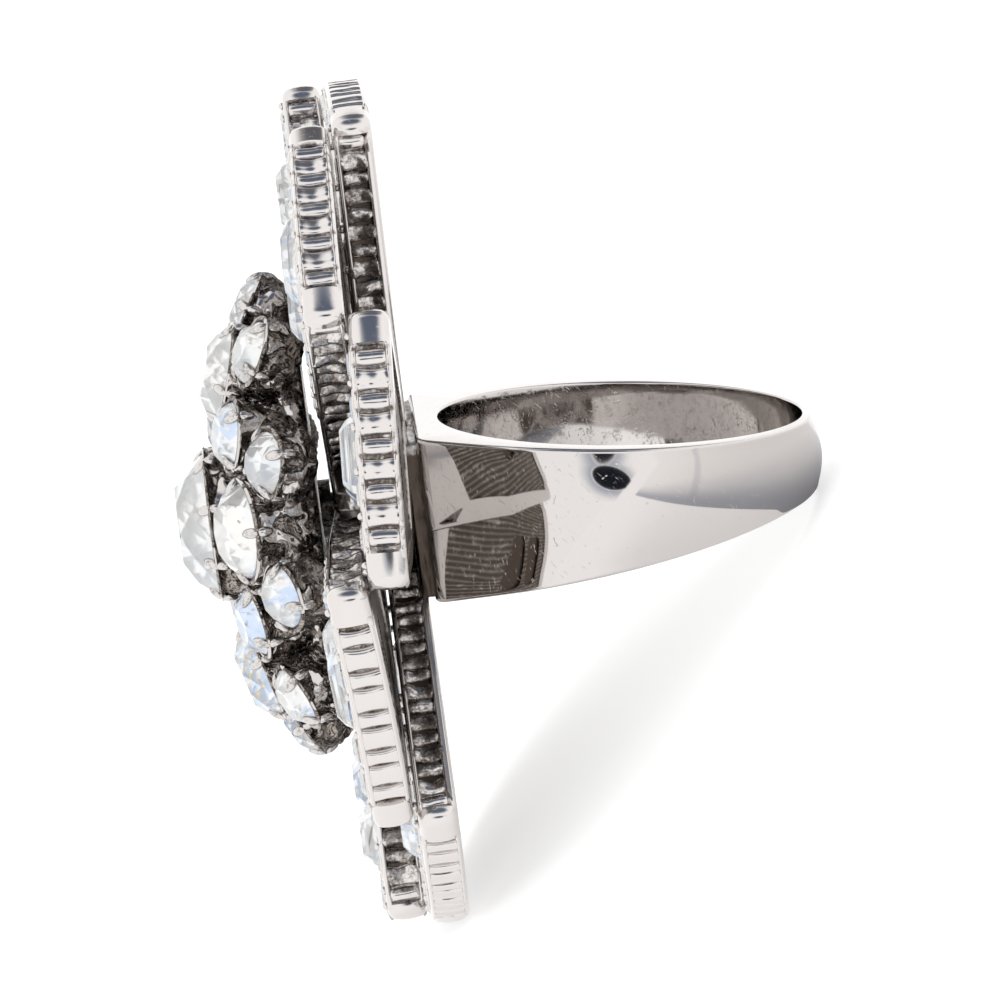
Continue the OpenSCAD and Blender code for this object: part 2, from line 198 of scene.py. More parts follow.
class Value:
    """A number inside a node tree, so that its maths reads as a plain expression."""

    def __init__(self, graph, socket):
        self.graph = graph
        self.socket = socket

    def maths(self, operation, *others, clamp=False):
        made = self.graph.node("ShaderNodeMath", {"operation": operation, "use_clamp": clamp},
                               dict(enumerate((self, *others))))
        return Value(self.graph, made.outputs[0])

    def __add__(self, other):
        return self.maths("ADD", other)

    __radd__ = __add__

    def __mul__(self, other):
        return self.maths("MULTIPLY", other)

    __rmul__ = __mul__

    def __sub__(self, other):
        return self.maths("SUBTRACT", other)

    def __rsub__(self, other):
        return self.maths("MULTIPLY_ADD", -1.0, other)

    def __pow__(self, power):
        return self.maths("POWER", power)

    def clamped(self):
        return self.maths("ADD", 0.0, clamp=True)

    def above(self, low, high):
        """0 below low, 1 above high, and smooth between them."""
        made = self.graph.node("ShaderNodeMapRange", {"interpolation_type": "SMOOTHSTEP"},
                               {"Value": self, "From Min": low, "From Max": high})
        return Value(self.graph, made.outputs["Result"])


class Graph:
    """Adds nodes to a tree: the type, its settings, then the values or links of its sockets."""

    def __init__(self, tree):
        self.tree = tree

    def node(self, kind, settings=None, inputs=None):
        made = self.tree.nodes.new(kind)
        for key, value in (settings or {}).items():
            setattr(made, key, value)
        for key, value in (inputs or {}).items():
            if isinstance(value, Value):
                value = value.socket
            if isinstance(value, bpy.types.NodeSocket):
                self.tree.links.new(value, made.inputs[key])
            else:
                made.inputs[key].default_value = value
        return made

    def value(self, kind, settings=None, inputs=None, output=0):
        return Value(self, self.node(kind, settings, inputs).outputs[output])

    def mix(self, factor, first, second):
        """Colour between first and second."""
        made = self.node("ShaderNodeMix", {"data_type": "RGBA"}, {0: factor, 6: first, 7: second})
        return made.outputs[2]


# Finishes

def new_look(name):
    """A new material and the graph of its node tree."""
    material = bpy.data.materials.new(name)
    material.use_nodes = True
    material.node_tree.nodes.clear()
    return material, Graph(material.node_tree)


def finish_look(graph, values):
    """The material's surface, with these values or links on its sockets."""
    shader = graph.node("ShaderNodeBsdfPrincipled", None, values)
    graph.node("ShaderNodeOutputMaterial", None, {"Surface": shader.outputs[0]})


def bumps(graph, strength, distance, height):
    """Small relief for a surface, its distance in metres."""
    return graph.node("ShaderNodeBump", None, {
        "Strength": strength, "Distance": distance, "Height": height}).outputs[0]


def object_place(graph):
    """The place on the object, in millimetres."""
    coordinates = graph.node("ShaderNodeTexCoord")
    made = graph.node("ShaderNodeVectorMath", {"operation": "SCALE"},
                      {0: coordinates.outputs["Object"], "Scale": 1000.0})
    return made.outputs[0]


def turned(graph, place, turn, stretch):
    """The place turned and then stretched, for a pattern that runs one way."""
    made = graph.node("ShaderNodeMapping", {"vector_type": "POINT"},
                      {"Vector": place, "Rotation": turn, "Scale": stretch})
    return made.outputs[0]


def noise_at(graph, place, scale, detail=2.0, rough=0.5, twist=0.0):
    return graph.value("ShaderNodeTexNoise", None,
                       {"Vector": place, "Scale": scale, "Detail": detail, "Roughness": rough,
                        "Distortion": twist})


def mark(graph, name):
    """A number stored on the piece's points."""
    return Value(graph, graph.node("ShaderNodeAttribute", {"attribute_name": name}).outputs["Fac"])


def silver_look(name, clean, darkening, rough, scratches):
    """Polished silver, darkened where the piece's tarnish and grime marks say so; these hold real tarnish
    and also painted shade in the petals' grooves and on their sides.
    """
    material, graph = new_look(name)
    place = object_place(graph)
    mottle = noise_at(graph, place, 1.7, 4.0, 0.6)
    speck = noise_at(graph, place, 7.0, 3.0, 0.7)
    # Darkening from the marks: tarnish, with painted shade in grooves and on the petals' sides.
    dirt_and_shade = mark(graph, "tarnish").maths("MAXIMUM", mark(graph, "grime_and_shade"))
    patchy = dirt_and_shade * 1.5 + (mottle - 0.5) * 1.5 + (speck - 0.5) * 1.3 - 0.35
    mask = patchy.above(0.0, 0.8) * dirt_and_shade.above(0.0, 0.3)
    hair = noise_at(graph, turned(graph, place, (0.3, 0.9, 0.4), (1.2, 14.0, 1.2)), 1.6, 3.0, 0.6)
    cross = noise_at(graph, turned(graph, place, (1.2, 0.2, 2.0), (16.0, 1.1, 1.1)), 1.3, 3.0, 0.6)
    lines = hair.above(0.66, 0.72) + cross.above(0.68, 0.73)
    soft = noise_at(graph, place, 0.5, 2.0)
    stripes = (mark(graph, "across") * 21.0 + mottle * 1.3).maths("SINE") * mark(graph, "ribbed")
    shade = graph.mix((mask + stripes * 0.22).clamped(), (*clean, 1.0), (*darkening, 1.0))
    height = soft * 0.25 + speck * mask * 0.5 - lines * scratches + stripes * 1.6
    finish_look(graph, {
        "Base Color": shade, "Metallic": 1.0,
        "Roughness": (mask * 0.22 + soft * 0.03 + lines * 0.06 + rough).clamped(),
        "Normal": bumps(graph, 0.35, 0.00002, height)})
    return material


def bark_look(name, dull, bright):
    """Dull cast silver: scribbled creases, and smooth polished patches where the piece's ridge is high;
    where the ridge is low it is dark, which is oxide and painted shade.
    """
    material, graph = new_look(name)
    place = object_place(graph)
    broad = noise_at(graph, place, 0.62, 1.5, 0.45, 0.7)
    scribble = noise_at(graph, place, 0.95, 3.0, 0.55, 1.7)
    fine = noise_at(graph, place, 5.5, 3.0, 0.6, 0.8)
    ridge = mark(graph, "ridge")
    lines = (scribble * 6.5).maths("FRACT").maths("PINGPONG", 0.5) * 2.0
    patch = broad.above(0.53, 0.55) * ridge.above(0.12, 0.3)
    crease = (1.0 - lines.above(0.05, 0.42)) * (1.0 - patch)
    ring = broad.above(0.49, 0.515) * (1.0 - broad.above(0.53, 0.55))
    # Dark in the creases and where the ridge is low, at the cups' feet and in their bowls: oxide, with
    # painted shade.
    dark = ((crease + ring * 0.8) * 0.85 + (1.0 - ridge.above(0.0, 0.3)) * 0.7).clamped()
    # Bright worn lines on the high places: wear, with painted highlights.
    worn = (lines.above(0.68, 0.95) * (fine * 1.6 - 0.25)).clamped() * ridge.above(0.1, 0.5) * 0.7
    low = graph.mix(dark, (*dull, 1.0), tuple(0.1 * c for c in dull) + (1.0,))
    shade = graph.mix((patch * 0.95 + worn).clamped(), low, (*bright, 1.0))
    height = patch * 1.0 - crease * 0.8 - ring * 0.8 + fine * 0.25 * (1.0 - patch) + broad * 2.0
    finish_look(graph, {
        "Base Color": shade, "Metallic": 1.0, "Roughness": 0.2 - patch * 0.1 + dark * 0.1,
        "Normal": bumps(graph, 0.8, 0.00014, height)})
    return material


def crystal_look(name, colour):
    """Clear crystal, with painted reflections: some facets are tinted a little greyer than others."""
    material, graph = new_look(name)
    wear = noise_at(graph, object_place(graph), 3.0, 2.0)
    shade = graph.mix(mark(graph, "facet").above(0.1, 0.9), (*colour, 1.0), (0.84, 0.88, 0.94, 1.0))
    finish_look(graph, {
        "Base Color": shade, "Metallic": 0.0, "Roughness": wear * 0.02, "IOR": 1.62,
        "Transmission Weight": 0.86})
    return material


def foil_look(name, colour):
    """The silvered back of a crystal, whose facets each get a slightly different tone as painted
    reflections: some pale blue, some warm, some dark grey.
    """
    material, graph = new_look(name)
    facet = mark(graph, "facet")
    cold = graph.mix(facet.above(0.68, 0.7), (*colour, 1.0), (0.66, 0.79, 1.0, 1.0))
    warm = graph.mix(facet.above(0.86, 0.88), cold, (1.0, 0.88, 0.66, 1.0))
    shade = graph.mix(1.0 - facet.above(0.08, 0.12), warm, (0.30, 0.28, 0.26, 1.0))
    # Emission: a faint painted glow in each facet's tone.
    finish_look(graph, {
        "Base Color": shade, "Metallic": 0.5, "Roughness": 0.1, "Emission Color": shade,
        "Emission Strength": 0.1})
    return material


def floor_look():
    """Pale floor with a little light of its own, which keeps shadows faint."""
    material, graph = new_look("floor")
    grain = noise_at(graph, object_place(graph), 0.02, 1.0)
    tone = (FLOOR_TONE, FLOOR_TONE, FLOOR_TONE, 1.0)
    finish_look(graph, {
        "Base Color": tone, "Roughness": (grain * 0.05 + 0.8).clamped(), "Specular IOR Level": 0.0,
        "Emission Color": tone, "Emission Strength": FLOOR_GLOW})
    return material


LOOKS = {}


def look(name):
    """The named finish, made the first time that a piece asks for it."""
    if name in LOOKS:
        return LOOKS[name]
    tones = bpy.context.scene.ring_finish
    silver, tarnish = tuple(tones.silver), tuple(tones.tarnish)
    makers = {
        "band_silver": lambda: silver_look(name, silver, tarnish, 0.035, 0.9),
        "petal_silver": lambda: silver_look(name, tuple(1.08 * c for c in silver), tarnish, 0.11, 0.5),
        "solder": lambda: silver_look(name, tuple(0.75 * c for c in silver), tarnish, 0.28, 2.0),
        "bark_silver": lambda: bark_look(name, tuple(tones.bark_dull), tuple(tones.bark_bright)),
        "claw_silver": lambda: silver_look(name, silver, tarnish, 0.1, 0.6),
        "crystal": lambda: crystal_look(name, tuple(tones.crystal)),
        "crystal_foil": lambda: foil_look(name, (0.99, 0.975, 0.94)),
    }
    LOOKS[name] = makers[name]()
    return LOOKS[name]


# Meshes

def linked(name, data):
    """A new object in the scene."""
    made = bpy.data.objects.new(name, data)
    bpy.context.scene.collection.objects.link(made)
    return made


def flat_mesh(name, outline, finish):
    """One flat face inside an outline."""
    mesh = bpy.data.meshes.new(name)
    mesh.from_pydata([(x, y, 0) for x, y in outline], [], [list(range(len(outline)))])
    mesh.materials.append(finish)
    return mesh


def shell(verts, faces):
    """One closed shell: its points and faces, kept together until a piece is made of them."""
    return {"verts": verts, "faces": faces}


def marked(made, **marks):
    """The shell with numbers on its points, which the finishes read."""
    made["marks"] = marks
    return made


def joined(shells, place=None):
    """Shells as one, each point moved by a matrix if one is given."""
    verts, faces, marks, slots = [], [], {}, []
    names = sorted({name for s in shells for name in s.get("marks", {})})
    for s in shells:
        start = len(verts)
        verts += [place @ Vector(v) for v in s["verts"]] if place else [Vector(v) for v in s["verts"]]
        faces += [[start + i for i in f] for f in s["faces"]]
        slots += s.get("slots", [0] * len(s["faces"]))
        for name in names:
            marks.setdefault(name, []).extend(s.get("marks", {}).get(name, [0.0] * len(s["verts"])))
    return {"verts": verts, "faces": faces, "marks": marks, "slots": slots}


def new_piece(name, made, looks, replaced, smooth=True, weld=1e-6, sharp=None):
    """A piece of the ring from points in the row frame, in millimetres."""
    mesh = bpy.data.meshes.new(name)
    mesh.from_pydata([v * MM for v in made["verts"]], [], made["faces"])
    for mark_name, values in made.get("marks", {}).items():
        mesh.attributes.new(mark_name, "FLOAT", "POINT").data.foreach_set("value", values)
    mesh.polygons.foreach_set("material_index", made.get("slots") or [0] * len(made["faces"]))
    work = bmesh.new()
    work.from_mesh(mesh)
    bmesh.ops.remove_doubles(work, verts=work.verts, dist=weld)
    bmesh.ops.recalc_face_normals(work, faces=work.faces)
    work.to_mesh(mesh)
    work.free()
    mesh.validate()
    if smooth:
        mesh.shade_smooth()
    else:
        mesh.shade_flat()
    if sharp is not None:
        mesh.set_sharp_from_angle(angle=radians(sharp))
    for each in looks:
        mesh.materials.append(look(each))
    hand_over(linked(name, mesh), replaced)


def hand_over(piece, replaced):
    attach(piece, "root")
    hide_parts(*replaced)


def loops(rows, cap_start=False, cap_end=False):
    """Faces that join rows of equal length, each a closed loop."""
    n = len(rows[0])
    faces = []
    for r in range(len(rows) - 1):
        for i in range(n):
            j = (i + 1) % n
            faces.append([r * n + i, r * n + j, (r + 1) * n + j, (r + 1) * n + i])
    if cap_start:
        faces.append(list(range(n - 1, -1, -1)))
    if cap_end:
        faces.append([(len(rows) - 1) * n + i for i in range(n)])
    return shell([p for row in rows for p in row], faces)


def drop(ring, start, stop, floor=False):
    """Upright wall along a closed outline between two heights, with a floor at the second if asked."""
    return loops([[(p.x, p.y, z) for p in ring] for z in (start, stop)], False, floor)


def level(verts, faces, z):
    """A flat sheet at a height."""
    return shell([(p.x, p.y, z) for p in verts], faces)


def lathe(profile, steps, wobble=None):
    """Rows of (radius, height) turned round Z and capped. wobble says how far a point moves from its
    angle, radius, height and row."""
    rows = []
    for k, (r, z) in enumerate(profile):
        row = []
        for i in range(steps):
            a = 2 * pi * i / steps
            dr, dz = wobble(a, r, z, k) if wobble else (0.0, 0.0)
            row.append(((r + dr) * cos(a), (r + dr) * sin(a), z + dz))
        rows.append(row)
    return loops(rows, True, True)


def on_circle(r, a):
    return Vector((r * cos(a), r * sin(a)))


def smoothstep(low, high, x):
    t = min(1.0, max(0.0, (x - low) / (high - low)))
    return t * t * (3 - 2 * t)


# Petals' outline, walls and faces

def petal_place(layer, k):
    """Matrix that takes what is drawn on a petal along +X to petal k of a layer, in the row frame."""
    bend, twist, slide = HAND_SET[layer][k]
    start = BACK_START if layer == "back" else FRONT_START
    return (HEAD @ Matrix.Translation((0, 0, 0 if layer == "back" else FRONT_A))
            @ Matrix.Rotation(radians(start + k * 360 / PETALS), 4, "Z")
            @ Matrix.Rotation(-atan(bend / PETAL_TIP), 4, "Y")
            @ Matrix.Rotation(atan(twist / CORNER.y), 4, "X")
            @ Matrix.Translation((slide, 0, 0)))


def on_end(s, inward=0.0):
    """(place, outward normal) at a distance along a petal's end from its middle."""
    n = on_circle(1.0, s / END_R)
    return Vector((END_X, 0)) + (END_R - inward) * n, n


def on_side(d, inward=0.0):
    """(place, outward normal) at a distance down a petal's side from its corner."""
    if d <= SIDE_LEN:
        return CORNER + SIDE_DIR * d - SIDE_NORMAL * inward, SIDE_NORMAL
    return WAIST + FLANK_DIR * (d - SIDE_LEN) - FLANK_NORMAL * inward, FLANK_NORMAL


def mirrored(p):
    return Vector((p.x, -p.y))


def petal_outline():
    """Whole outline as (place, outward normal, plain, distance down the side), from the hub and round."""
    half = []
    end = END_HALF_LEN - CORNER_R
    ribbed = [PLAIN_END * i / 36 for i in range(36)]
    for length in (*ribbed, PLAIN_END - 0.05, PLAIN_END + 0.05, PLAIN_END + 0.4, end - 0.35, end):
        half.append((*on_end(length), float(length > PLAIN_END), 0.0))
    for i in range(1, 9):
        n = on_circle(1.0, END_HALF + (pi / 2 + SIDE_ANGLE - END_HALF) * i / 8)
        half.append((CORNER_CENTRE + CORNER_R * n, n, 1.0, 0.0))
    start = (half[-1][0] - CORNER).dot(SIDE_DIR)
    for d in (max(start + 0.02, PLAIN_SIDE - 0.05), PLAIN_SIDE + 0.05):
        half.append((*on_side(d), float(d < PLAIN_SIDE), d))
    d = PLAIN_SIDE + 0.46
    while d < SIDE_LEN + FLANK_LEN:
        half.append((*on_side(d), 0.0, d))
        d += 0.46
    half.append((*on_side(SIDE_LEN + FLANK_LEN), 0.0, SIDE_LEN + FLANK_LEN))
    lower = [(mirrored(p), mirrored(n), plain, d) for p, n, plain, d in half[:0:-1]]
    hub = [(Vector((HUB_START, 0)), Vector((-1, 0)), 0.0, SIDE_LEN + FLANK_LEN)]
    return hub + lower + half


def wall_height(layer, z, d):
    """Height of a wall row: the back layer's sides have a broad lip at the back."""
    if layer == "front" or d < 1.0 or not 0.2 < z < 1.5:
        return z
    return z + BACK_LIP * (1.5 - z) / 1.3


def edge_crystals(layer):
    """Places of the small round crystals along a petal's edge."""
    places = [on_end(k * RIB_PAIR, EDGE_IN)[0] for k in range(-2, 3)]
    for k in range(EDGE_PER_SIDE[layer]):
        p = on_side(CORNER_PLAIN + SLIM_RIB + BROAD_RIB / 2 + k * RIB_PAIR,
                    COVERED_IN if layer == "back" else EDGE_IN)[0]
        places += [p, mirrored(p)]
    return places


def clipped(length, width, clip):
    """Rectangle with its corners cut off."""
    return [Vector((sx * (length / 2 - ex), sy * (width / 2 - ey)))
            for sx, sy in ((1, 1), (-1, 1), (-1, -1), (1, -1))
            for ex, ey in (((0, clip), (clip, 0)) if sx * sy > 0 else ((clip, 0), (0, clip)))]


def pockets(layer):
    """Outlines of the recesses that hold a petal's crystals."""
    made = [[Vector((x, 0)) + p for p in clipped(length + 2 * FIT, BAGUETTE_W + 2 * FIT, 0.35)]
            for x, length in STEP_CUT]
    for p in edge_crystals(layer):
        made.append([p + on_circle(EDGE_D / 2 + FIT, 2 * pi * i / 16) for i in range(16)])
    return made


def inside(p, ring):
    """Whether a point lies inside a closed outline."""
    odd = False
    for a, b in zip(ring, ring[1:] + ring[:1]):
        if (a.y > p.y) != (b.y > p.y) and p.x < (b.x - a.x) * (p.y - a.y) / (b.y - a.y) + a.x:
            odd = not odd
    return odd


def filled(outline, holes):
    """Triangles between an outline and its holes, on the given points."""
    rings = [outline, *holes]
    points = [p for ring in rings for p in ring]
    edges, start = [], 0
    for ring in rings:
        edges += [(start + i, start + (i + 1) % len(ring)) for i in range(len(ring))]
        start += len(ring)
    verts, _, faces, *_ = delaunay_2d_cdt(points, edges, [], 0, 1e-6)
    kept = []
    for f in faces:
        middle = sum((verts[i] for i in f), Vector((0, 0))) / len(f)
        if inside(middle, outline) and not any(inside(middle, hole) for hole in holes):
            kept.append(list(f))
    return verts, kept


def collar_shell(ring):
    """Thin bright rim round a crystal's recess."""
    middle = sum(ring, Vector((0, 0))) / len(ring)
    rim = []
    for out, z in ((0.0, FACE_Z - 0.02), (0.0, LAYER_T + 0.03), (0.08, LAYER_T + 0.08),
                   (0.18, LAYER_T + 0.03), (0.22, FACE_Z - 0.02)):
        rim.append([(q.x, q.y, z) for q in (p + (p - middle).normalized() * out for p in ring)])
    made = loops(rim)
    n = len(ring)
    made["faces"] += [[4 * n + i, 4 * n + (i + 1) % n, (i + 1) % n, i] for i in range(n)]
    return made


def back_field():
    """Outline of the sunken, ribbed field on a petal's back."""
    end = [on_end(s * FIELD_IN, FIELD_IN)[0] for s in range(-4, 5)]
    side = [on_side(d, FIELD_IN)[0] for d in FIELD_SIDE]
    return end + side + [mirrored(p) for p in side[::-1]]


def border_stain(x):
    """Tarnish of a petal's back border, which is bright except near the hub."""
    return BRIGHT if x > BORDER_ENDS else DULL


def notch(p, plain, d):
    """1 where a groove between two ribs of a petal's end crosses its lips, and 0 at a rib."""
    from_broad = abs(END_R * asin(p.y / END_R) / RIB_PAIR % 1 - 0.5) * RIB_PAIR
    return 0.0 if plain or d else smoothstep(NOTCH_HALF, 0.0, abs(from_broad - BROAD_RIB / 2))


def wall_shell(layer, flat):
    """Wall round a petal, with its first and last rows of points: lips, and a floor for the ribs darkened
    with tarnish and painted shade.
    """
    outline = petal_outline()
    rows, darkening = [], []
    for height, at_rib, at_corner, tarnish in WALL:
        row = []
        for p, n, plain, d in outline:
            cut = 0.0 if flat else notch(p, plain, d) * max(0.0, 1 - at_rib / 0.3)
            q = p - n * (at_rib + (at_corner - at_rib) * plain + NOTCH * cut)
            row.append((q.x, q.y, wall_height(layer, height, d)))
            # Painted shade and tarnish: the sides darken away from the corner, between the lips, and so do
            # the notches where grooves cross the lips.
            hidden = smoothstep(0.8, 2.4, d) * (0.26 < height < 1.65)
            darkening.append(max(tarnish * (1 - plain) * 0.62, 0.6 * cut, 0.85 * hidden))
        rows.append(row)
    darkening[:len(outline)] = [border_stain(x) for x, _, _ in rows[0]]
    return marked(loops(rows), tarnish=darkening), rows[0], rows[-1]


def back_shells(rim):
    """Back of a petal: its border, the step down to a ribbed field, and a window under each crystal."""
    field = back_field()
    windows = [[Vector((x, 0)) + p for p in clipped(length - 0.3, BAGUETTE_W - 0.4, 0.3)]
               for x, length in STEP_CUT]
    verts, faces = filled([Vector(p[:2]) for p in rim], [field])
    border = marked(level(verts, faces, 0.0), tarnish=[border_stain(p.x) for p in verts])
    n = len(field)
    step = marked(drop(field, 0.0, FIELD_Z), tarnish=[BRIGHT] * n + [DULL] * n,
                  ribbed=[0.0] * n + [1.0] * n, across=[p.y for p in field * 2])
    verts, faces = filled(field, windows)
    sunk = marked(level(verts, faces, FIELD_Z), tarnish=[DULL] * len(verts), ribbed=[1.0] * len(verts),
                  across=[p.y for p in verts])
    made = [border, step, sunk]
    for ring in windows:
        n = len(ring)
        made.append(marked(drop(ring, FIELD_Z, WINDOW_Z, True), tarnish=[DULL] * n + [HIDDEN] * n,
                           ribbed=[1.0] * n + [0.0] * n, across=[p.y for p in ring * 2]))
    return made


def face_shells(layer, rim):
    """Front of a petal, with a recess and a bright rim for each of its crystals."""
    holes = pockets(layer)
    verts, faces = filled([Vector(p[:2]) for p in rim], holes)
    made = [marked(level(verts, faces, FACE_Z), tarnish=[FACE_DULL] * len(verts))]
    for ring in holes:
        n = len(ring)
        made.append(marked(drop(ring, FACE_Z, LAYER_T - POCKET_DEEP, True),
                           tarnish=[FACE_DULL] * n + [HIDDEN] * n))
        made.append(collar_shell(ring))
    return made


def petal_shells(layer, flat):
    """One petal, drawn along +X."""
    wall, back_rim, face_rim = wall_shell(layer, flat)
    return [wall, *back_shells(back_rim), *face_shells(layer, face_rim)]


def hub_shell(layer):
    low = (0.0 if layer == "back" else FRONT_A) + HUB_IN
    high = low + LAYER_T - 2 * HUB_IN
    return lathe([(HUB_R - 0.1, low), (HUB_R, low + 0.1), (HUB_R, high - 0.1), (HUB_R - 0.1, high)], 64)


def set_down(layer, k, p):
    """A point drawn on a petal along +X, bowed as that petal is and put in its place on the ring."""
    bow = BOW.get((layer, k), 0.0) * (1 - (p[1] / CORNER.y) ** 2) * smoothstep(10.0, 19.0, p[0])
    return petal_place(layer, k) @ Vector((p[0], p[1], p[2] + bow))


def on_point(layer, k, p, n, z):
    """(place, turn) of a thing that stands on a petal's wall and faces outwards."""
    out, up = Vector((n.x, n.y, 0)), Vector((0, 0, 1))
    turn = petal_place(layer, k).to_3x3() @ Matrix((up.cross(out), up, out)).transposed()
    return set_down(layer, k, (p.x, p.y, z)), turn.to_euler()


def no_points():
    """Lists of what the geometry trees read from each point."""
    return {"at": [], "turn": [], "kind": [], "grime_and_shade": [], "size": []}


def add_point(points, at, turn, kind=0, grime_and_shade=0.0, size=(1.0, 1.0, 1.0)):
    points["at"].append(at)
    points["turn"] += list(turn)
    points["kind"].append(kind)
    points["grime_and_shade"].append(grime_and_shade)
    points["size"] += list(size)


def rib_spots():
    """Every rib of one petal: (place, outward normal, 1 if slim, distance down the side)."""
    spots = []
    for m in (-1, 1):
        for s in range(5):
            if s or m > 0:
                spots.append((*on_end(m * s / 2 * RIB_PAIR), 1 - s % 2, 0.0))
        for k in range(int((SIDE_LEN + FLANK_LEN - PLAIN_SIDE - HUB_PLAIN) / SIDE_PAIR)):
            for slim, d in ((1, SIDE_SLIM_AT), (0, SIDE_BROAD_AT)):
                d += PLAIN_SIDE + k * SIDE_PAIR
                p, n = on_side(d)
                if m < 0:
                    p, n = mirrored(p), mirrored(n)
                spots.append((p, n, slim, d))
    return spots


def rib_points(layer):
    """Where the ribs stand. Kinds 0 and 1 are broad and slim dished ribs, 2 and 3 flat ones."""
    made = no_points()
    for k in range(PETALS):
        for p, n, slim, d in rib_spots():
            side = d > 0
            low = BACK_LIP / 2 if side and layer == "back" else 0.0
            at, turn = on_point(layer, k, p, n, LAYER_T / 2 + low)
            flat = STYLES[layer][k] and not side
            width = 0.84 if flat and layer == "back" else 0.94 if side and not slim else 1.0
            # The ribs darken down a petal's side, away from its corner: tarnish and painted shade.
            add_point(made, at, turn, slim + 2 * flat, 0.52 * smoothstep(0.9, 2.6, d),
                      (width, 1.0 - low / 0.9, 1.0))
    return made


def bead_points(layer):
    """Little bead prongs at the corners of the step-cut crystals and between the round ones."""
    spots = []
    for x, length in STEP_CUT:
        for sx in (-1, 1):
            for sy in (-1, 1):
                spots.append(Vector((x + sx * (length / 2 - 0.1), sy * (BAGUETTE_W / 2 + 0.12))))
    spots += [on_end(s * RIB_PAIR, BEAD_IN)[0] for s in (-2.6, -1.5, -0.5, 0.5, 1.5, 2.6)]
    for d in (1.5, 3.6, 5.7, 7.8):
        p = on_side(d, BEAD_IN)[0]
        spots += [p, mirrored(p)]
    made = no_points()
    for k in range(PETALS):
        turn = petal_place(layer, k).to_3x3().to_euler()
        for p in spots:
            add_point(made, set_down(layer, k, (p.x, p.y, LAYER_T + 0.04)), turn)
    return made


# Ribs, beads and claws, grown on points

NUMBER, WHOLE = "NodeSocketFloat", "NodeSocketInt"


def new_tree(name, inputs):
    """Graph and group input node of a geometry tree with named inputs: (name, socket type, default)."""
    tree = bpy.data.node_groups.new(name, "GeometryNodeTree")
    tree.interface.new_socket("Geometry", in_out="INPUT", socket_type="NodeSocketGeometry")
    for label, kind, default in inputs:
        tree.interface.new_socket(label, in_out="INPUT", socket_type=kind).default_value = default
    tree.interface.new_socket("Geometry", in_out="OUTPUT", socket_type="NodeSocketGeometry")
    graph = Graph(tree)
    return graph, graph.node("NodeGroupInput")


def end_tree(graph, geometry, material):
    real = graph.node("GeometryNodeRealizeInstances", None, {"Geometry": geometry})
    painted = graph.node("GeometryNodeSetMaterial", None,
                         {"Geometry": real.outputs[0], "Material": look(material)})
    graph.node("NodeGroupOutput", None, {0: painted.outputs[0]})


def grow(name, points, graph, values, replaced, sharp=None):
    """A piece grown by a geometry tree on points that carry turn, kind, grime and size."""
    mesh = bpy.data.meshes.new(name + "_points")
    mesh.from_pydata([p * MM for p in points["at"]], [], [])
    for key, kind, field in (("turn", "FLOAT_VECTOR", "vector"), ("size", "FLOAT_VECTOR", "vector"),
                             ("kind", "INT", "value"), ("grime_and_shade", "FLOAT", "value")):
        mesh.attributes.new(key, kind, "POINT").data.foreach_set(field, points[key])
    source = linked(name + "_points", mesh)
    modifier = source.modifiers.new(name, "NODES")
    modifier.node_group = graph.tree
    sockets = {s.name: s.identifier for s in graph.tree.interface.items_tree
               if s.item_type == "SOCKET" and s.in_out == "INPUT"}
    for label, value in values.items():
        modifier[sockets[label]] = value
    depsgraph = bpy.context.evaluated_depsgraph_get()
    made = bpy.data.meshes.new_from_object(source.evaluated_get(depsgraph),
                                           preserve_all_data_layers=True, depsgraph=depsgraph)
    made.name = name
    bpy.data.objects.remove(source)
    made.shade_smooth()
    if sharp is not None:
        made.set_sharp_from_angle(angle=radians(sharp))
    hand_over(linked(name, made), replaced)


def rib_shape(graph, width, height, steps, top, waist, dark_from):
    """A block that stands on +Z. top(u2, v2) is the level of its outer side and waist(v2) its width."""
    block = graph.node("GeometryNodeMeshCube", None,
                       {"Size": (1.0, 1.0, 1.0), "Vertices X": steps[0], "Vertices Y": steps[1],
                        "Vertices Z": 2})
    at = graph.node("ShaderNodeSeparateXYZ", None,
                    {0: graph.node("GeometryNodeInputPosition").outputs[0]})
    x, y, z = (Value(graph, socket) for socket in at.outputs)
    u2, v2 = x * x * 4.0, y * y * 4.0
    base = -0.6 * MM
    moved = graph.node("ShaderNodeCombineXYZ", None, {
        0: x * width * waist(v2), 1: y * height, 2: (top(u2, v2) * MM - base) * (z + 0.5) + base})
    shaped = graph.node("GeometryNodeSetPosition", None,
                        {"Geometry": block.outputs[0], "Position": moved.outputs[0]})
    # Each rib darkens towards its two sides, next to the grooves: tarnish and painted shade, stored on its
    # points.
    dark = (u2 * u2).above(dark_from, 1.0)
    stained = graph.node("GeometryNodeStoreNamedAttribute", {"data_type": "FLOAT", "domain": "POINT"},
                         {"Geometry": shaped.outputs[0], "Name": "tarnish", "Value": dark})
    return stained.outputs[0]


def stored(graph, kind, name):
    """What the points carry under a name."""
    return graph.node("GeometryNodeInputNamedAttribute", {"data_type": kind}, {"Name": name}).outputs[0]


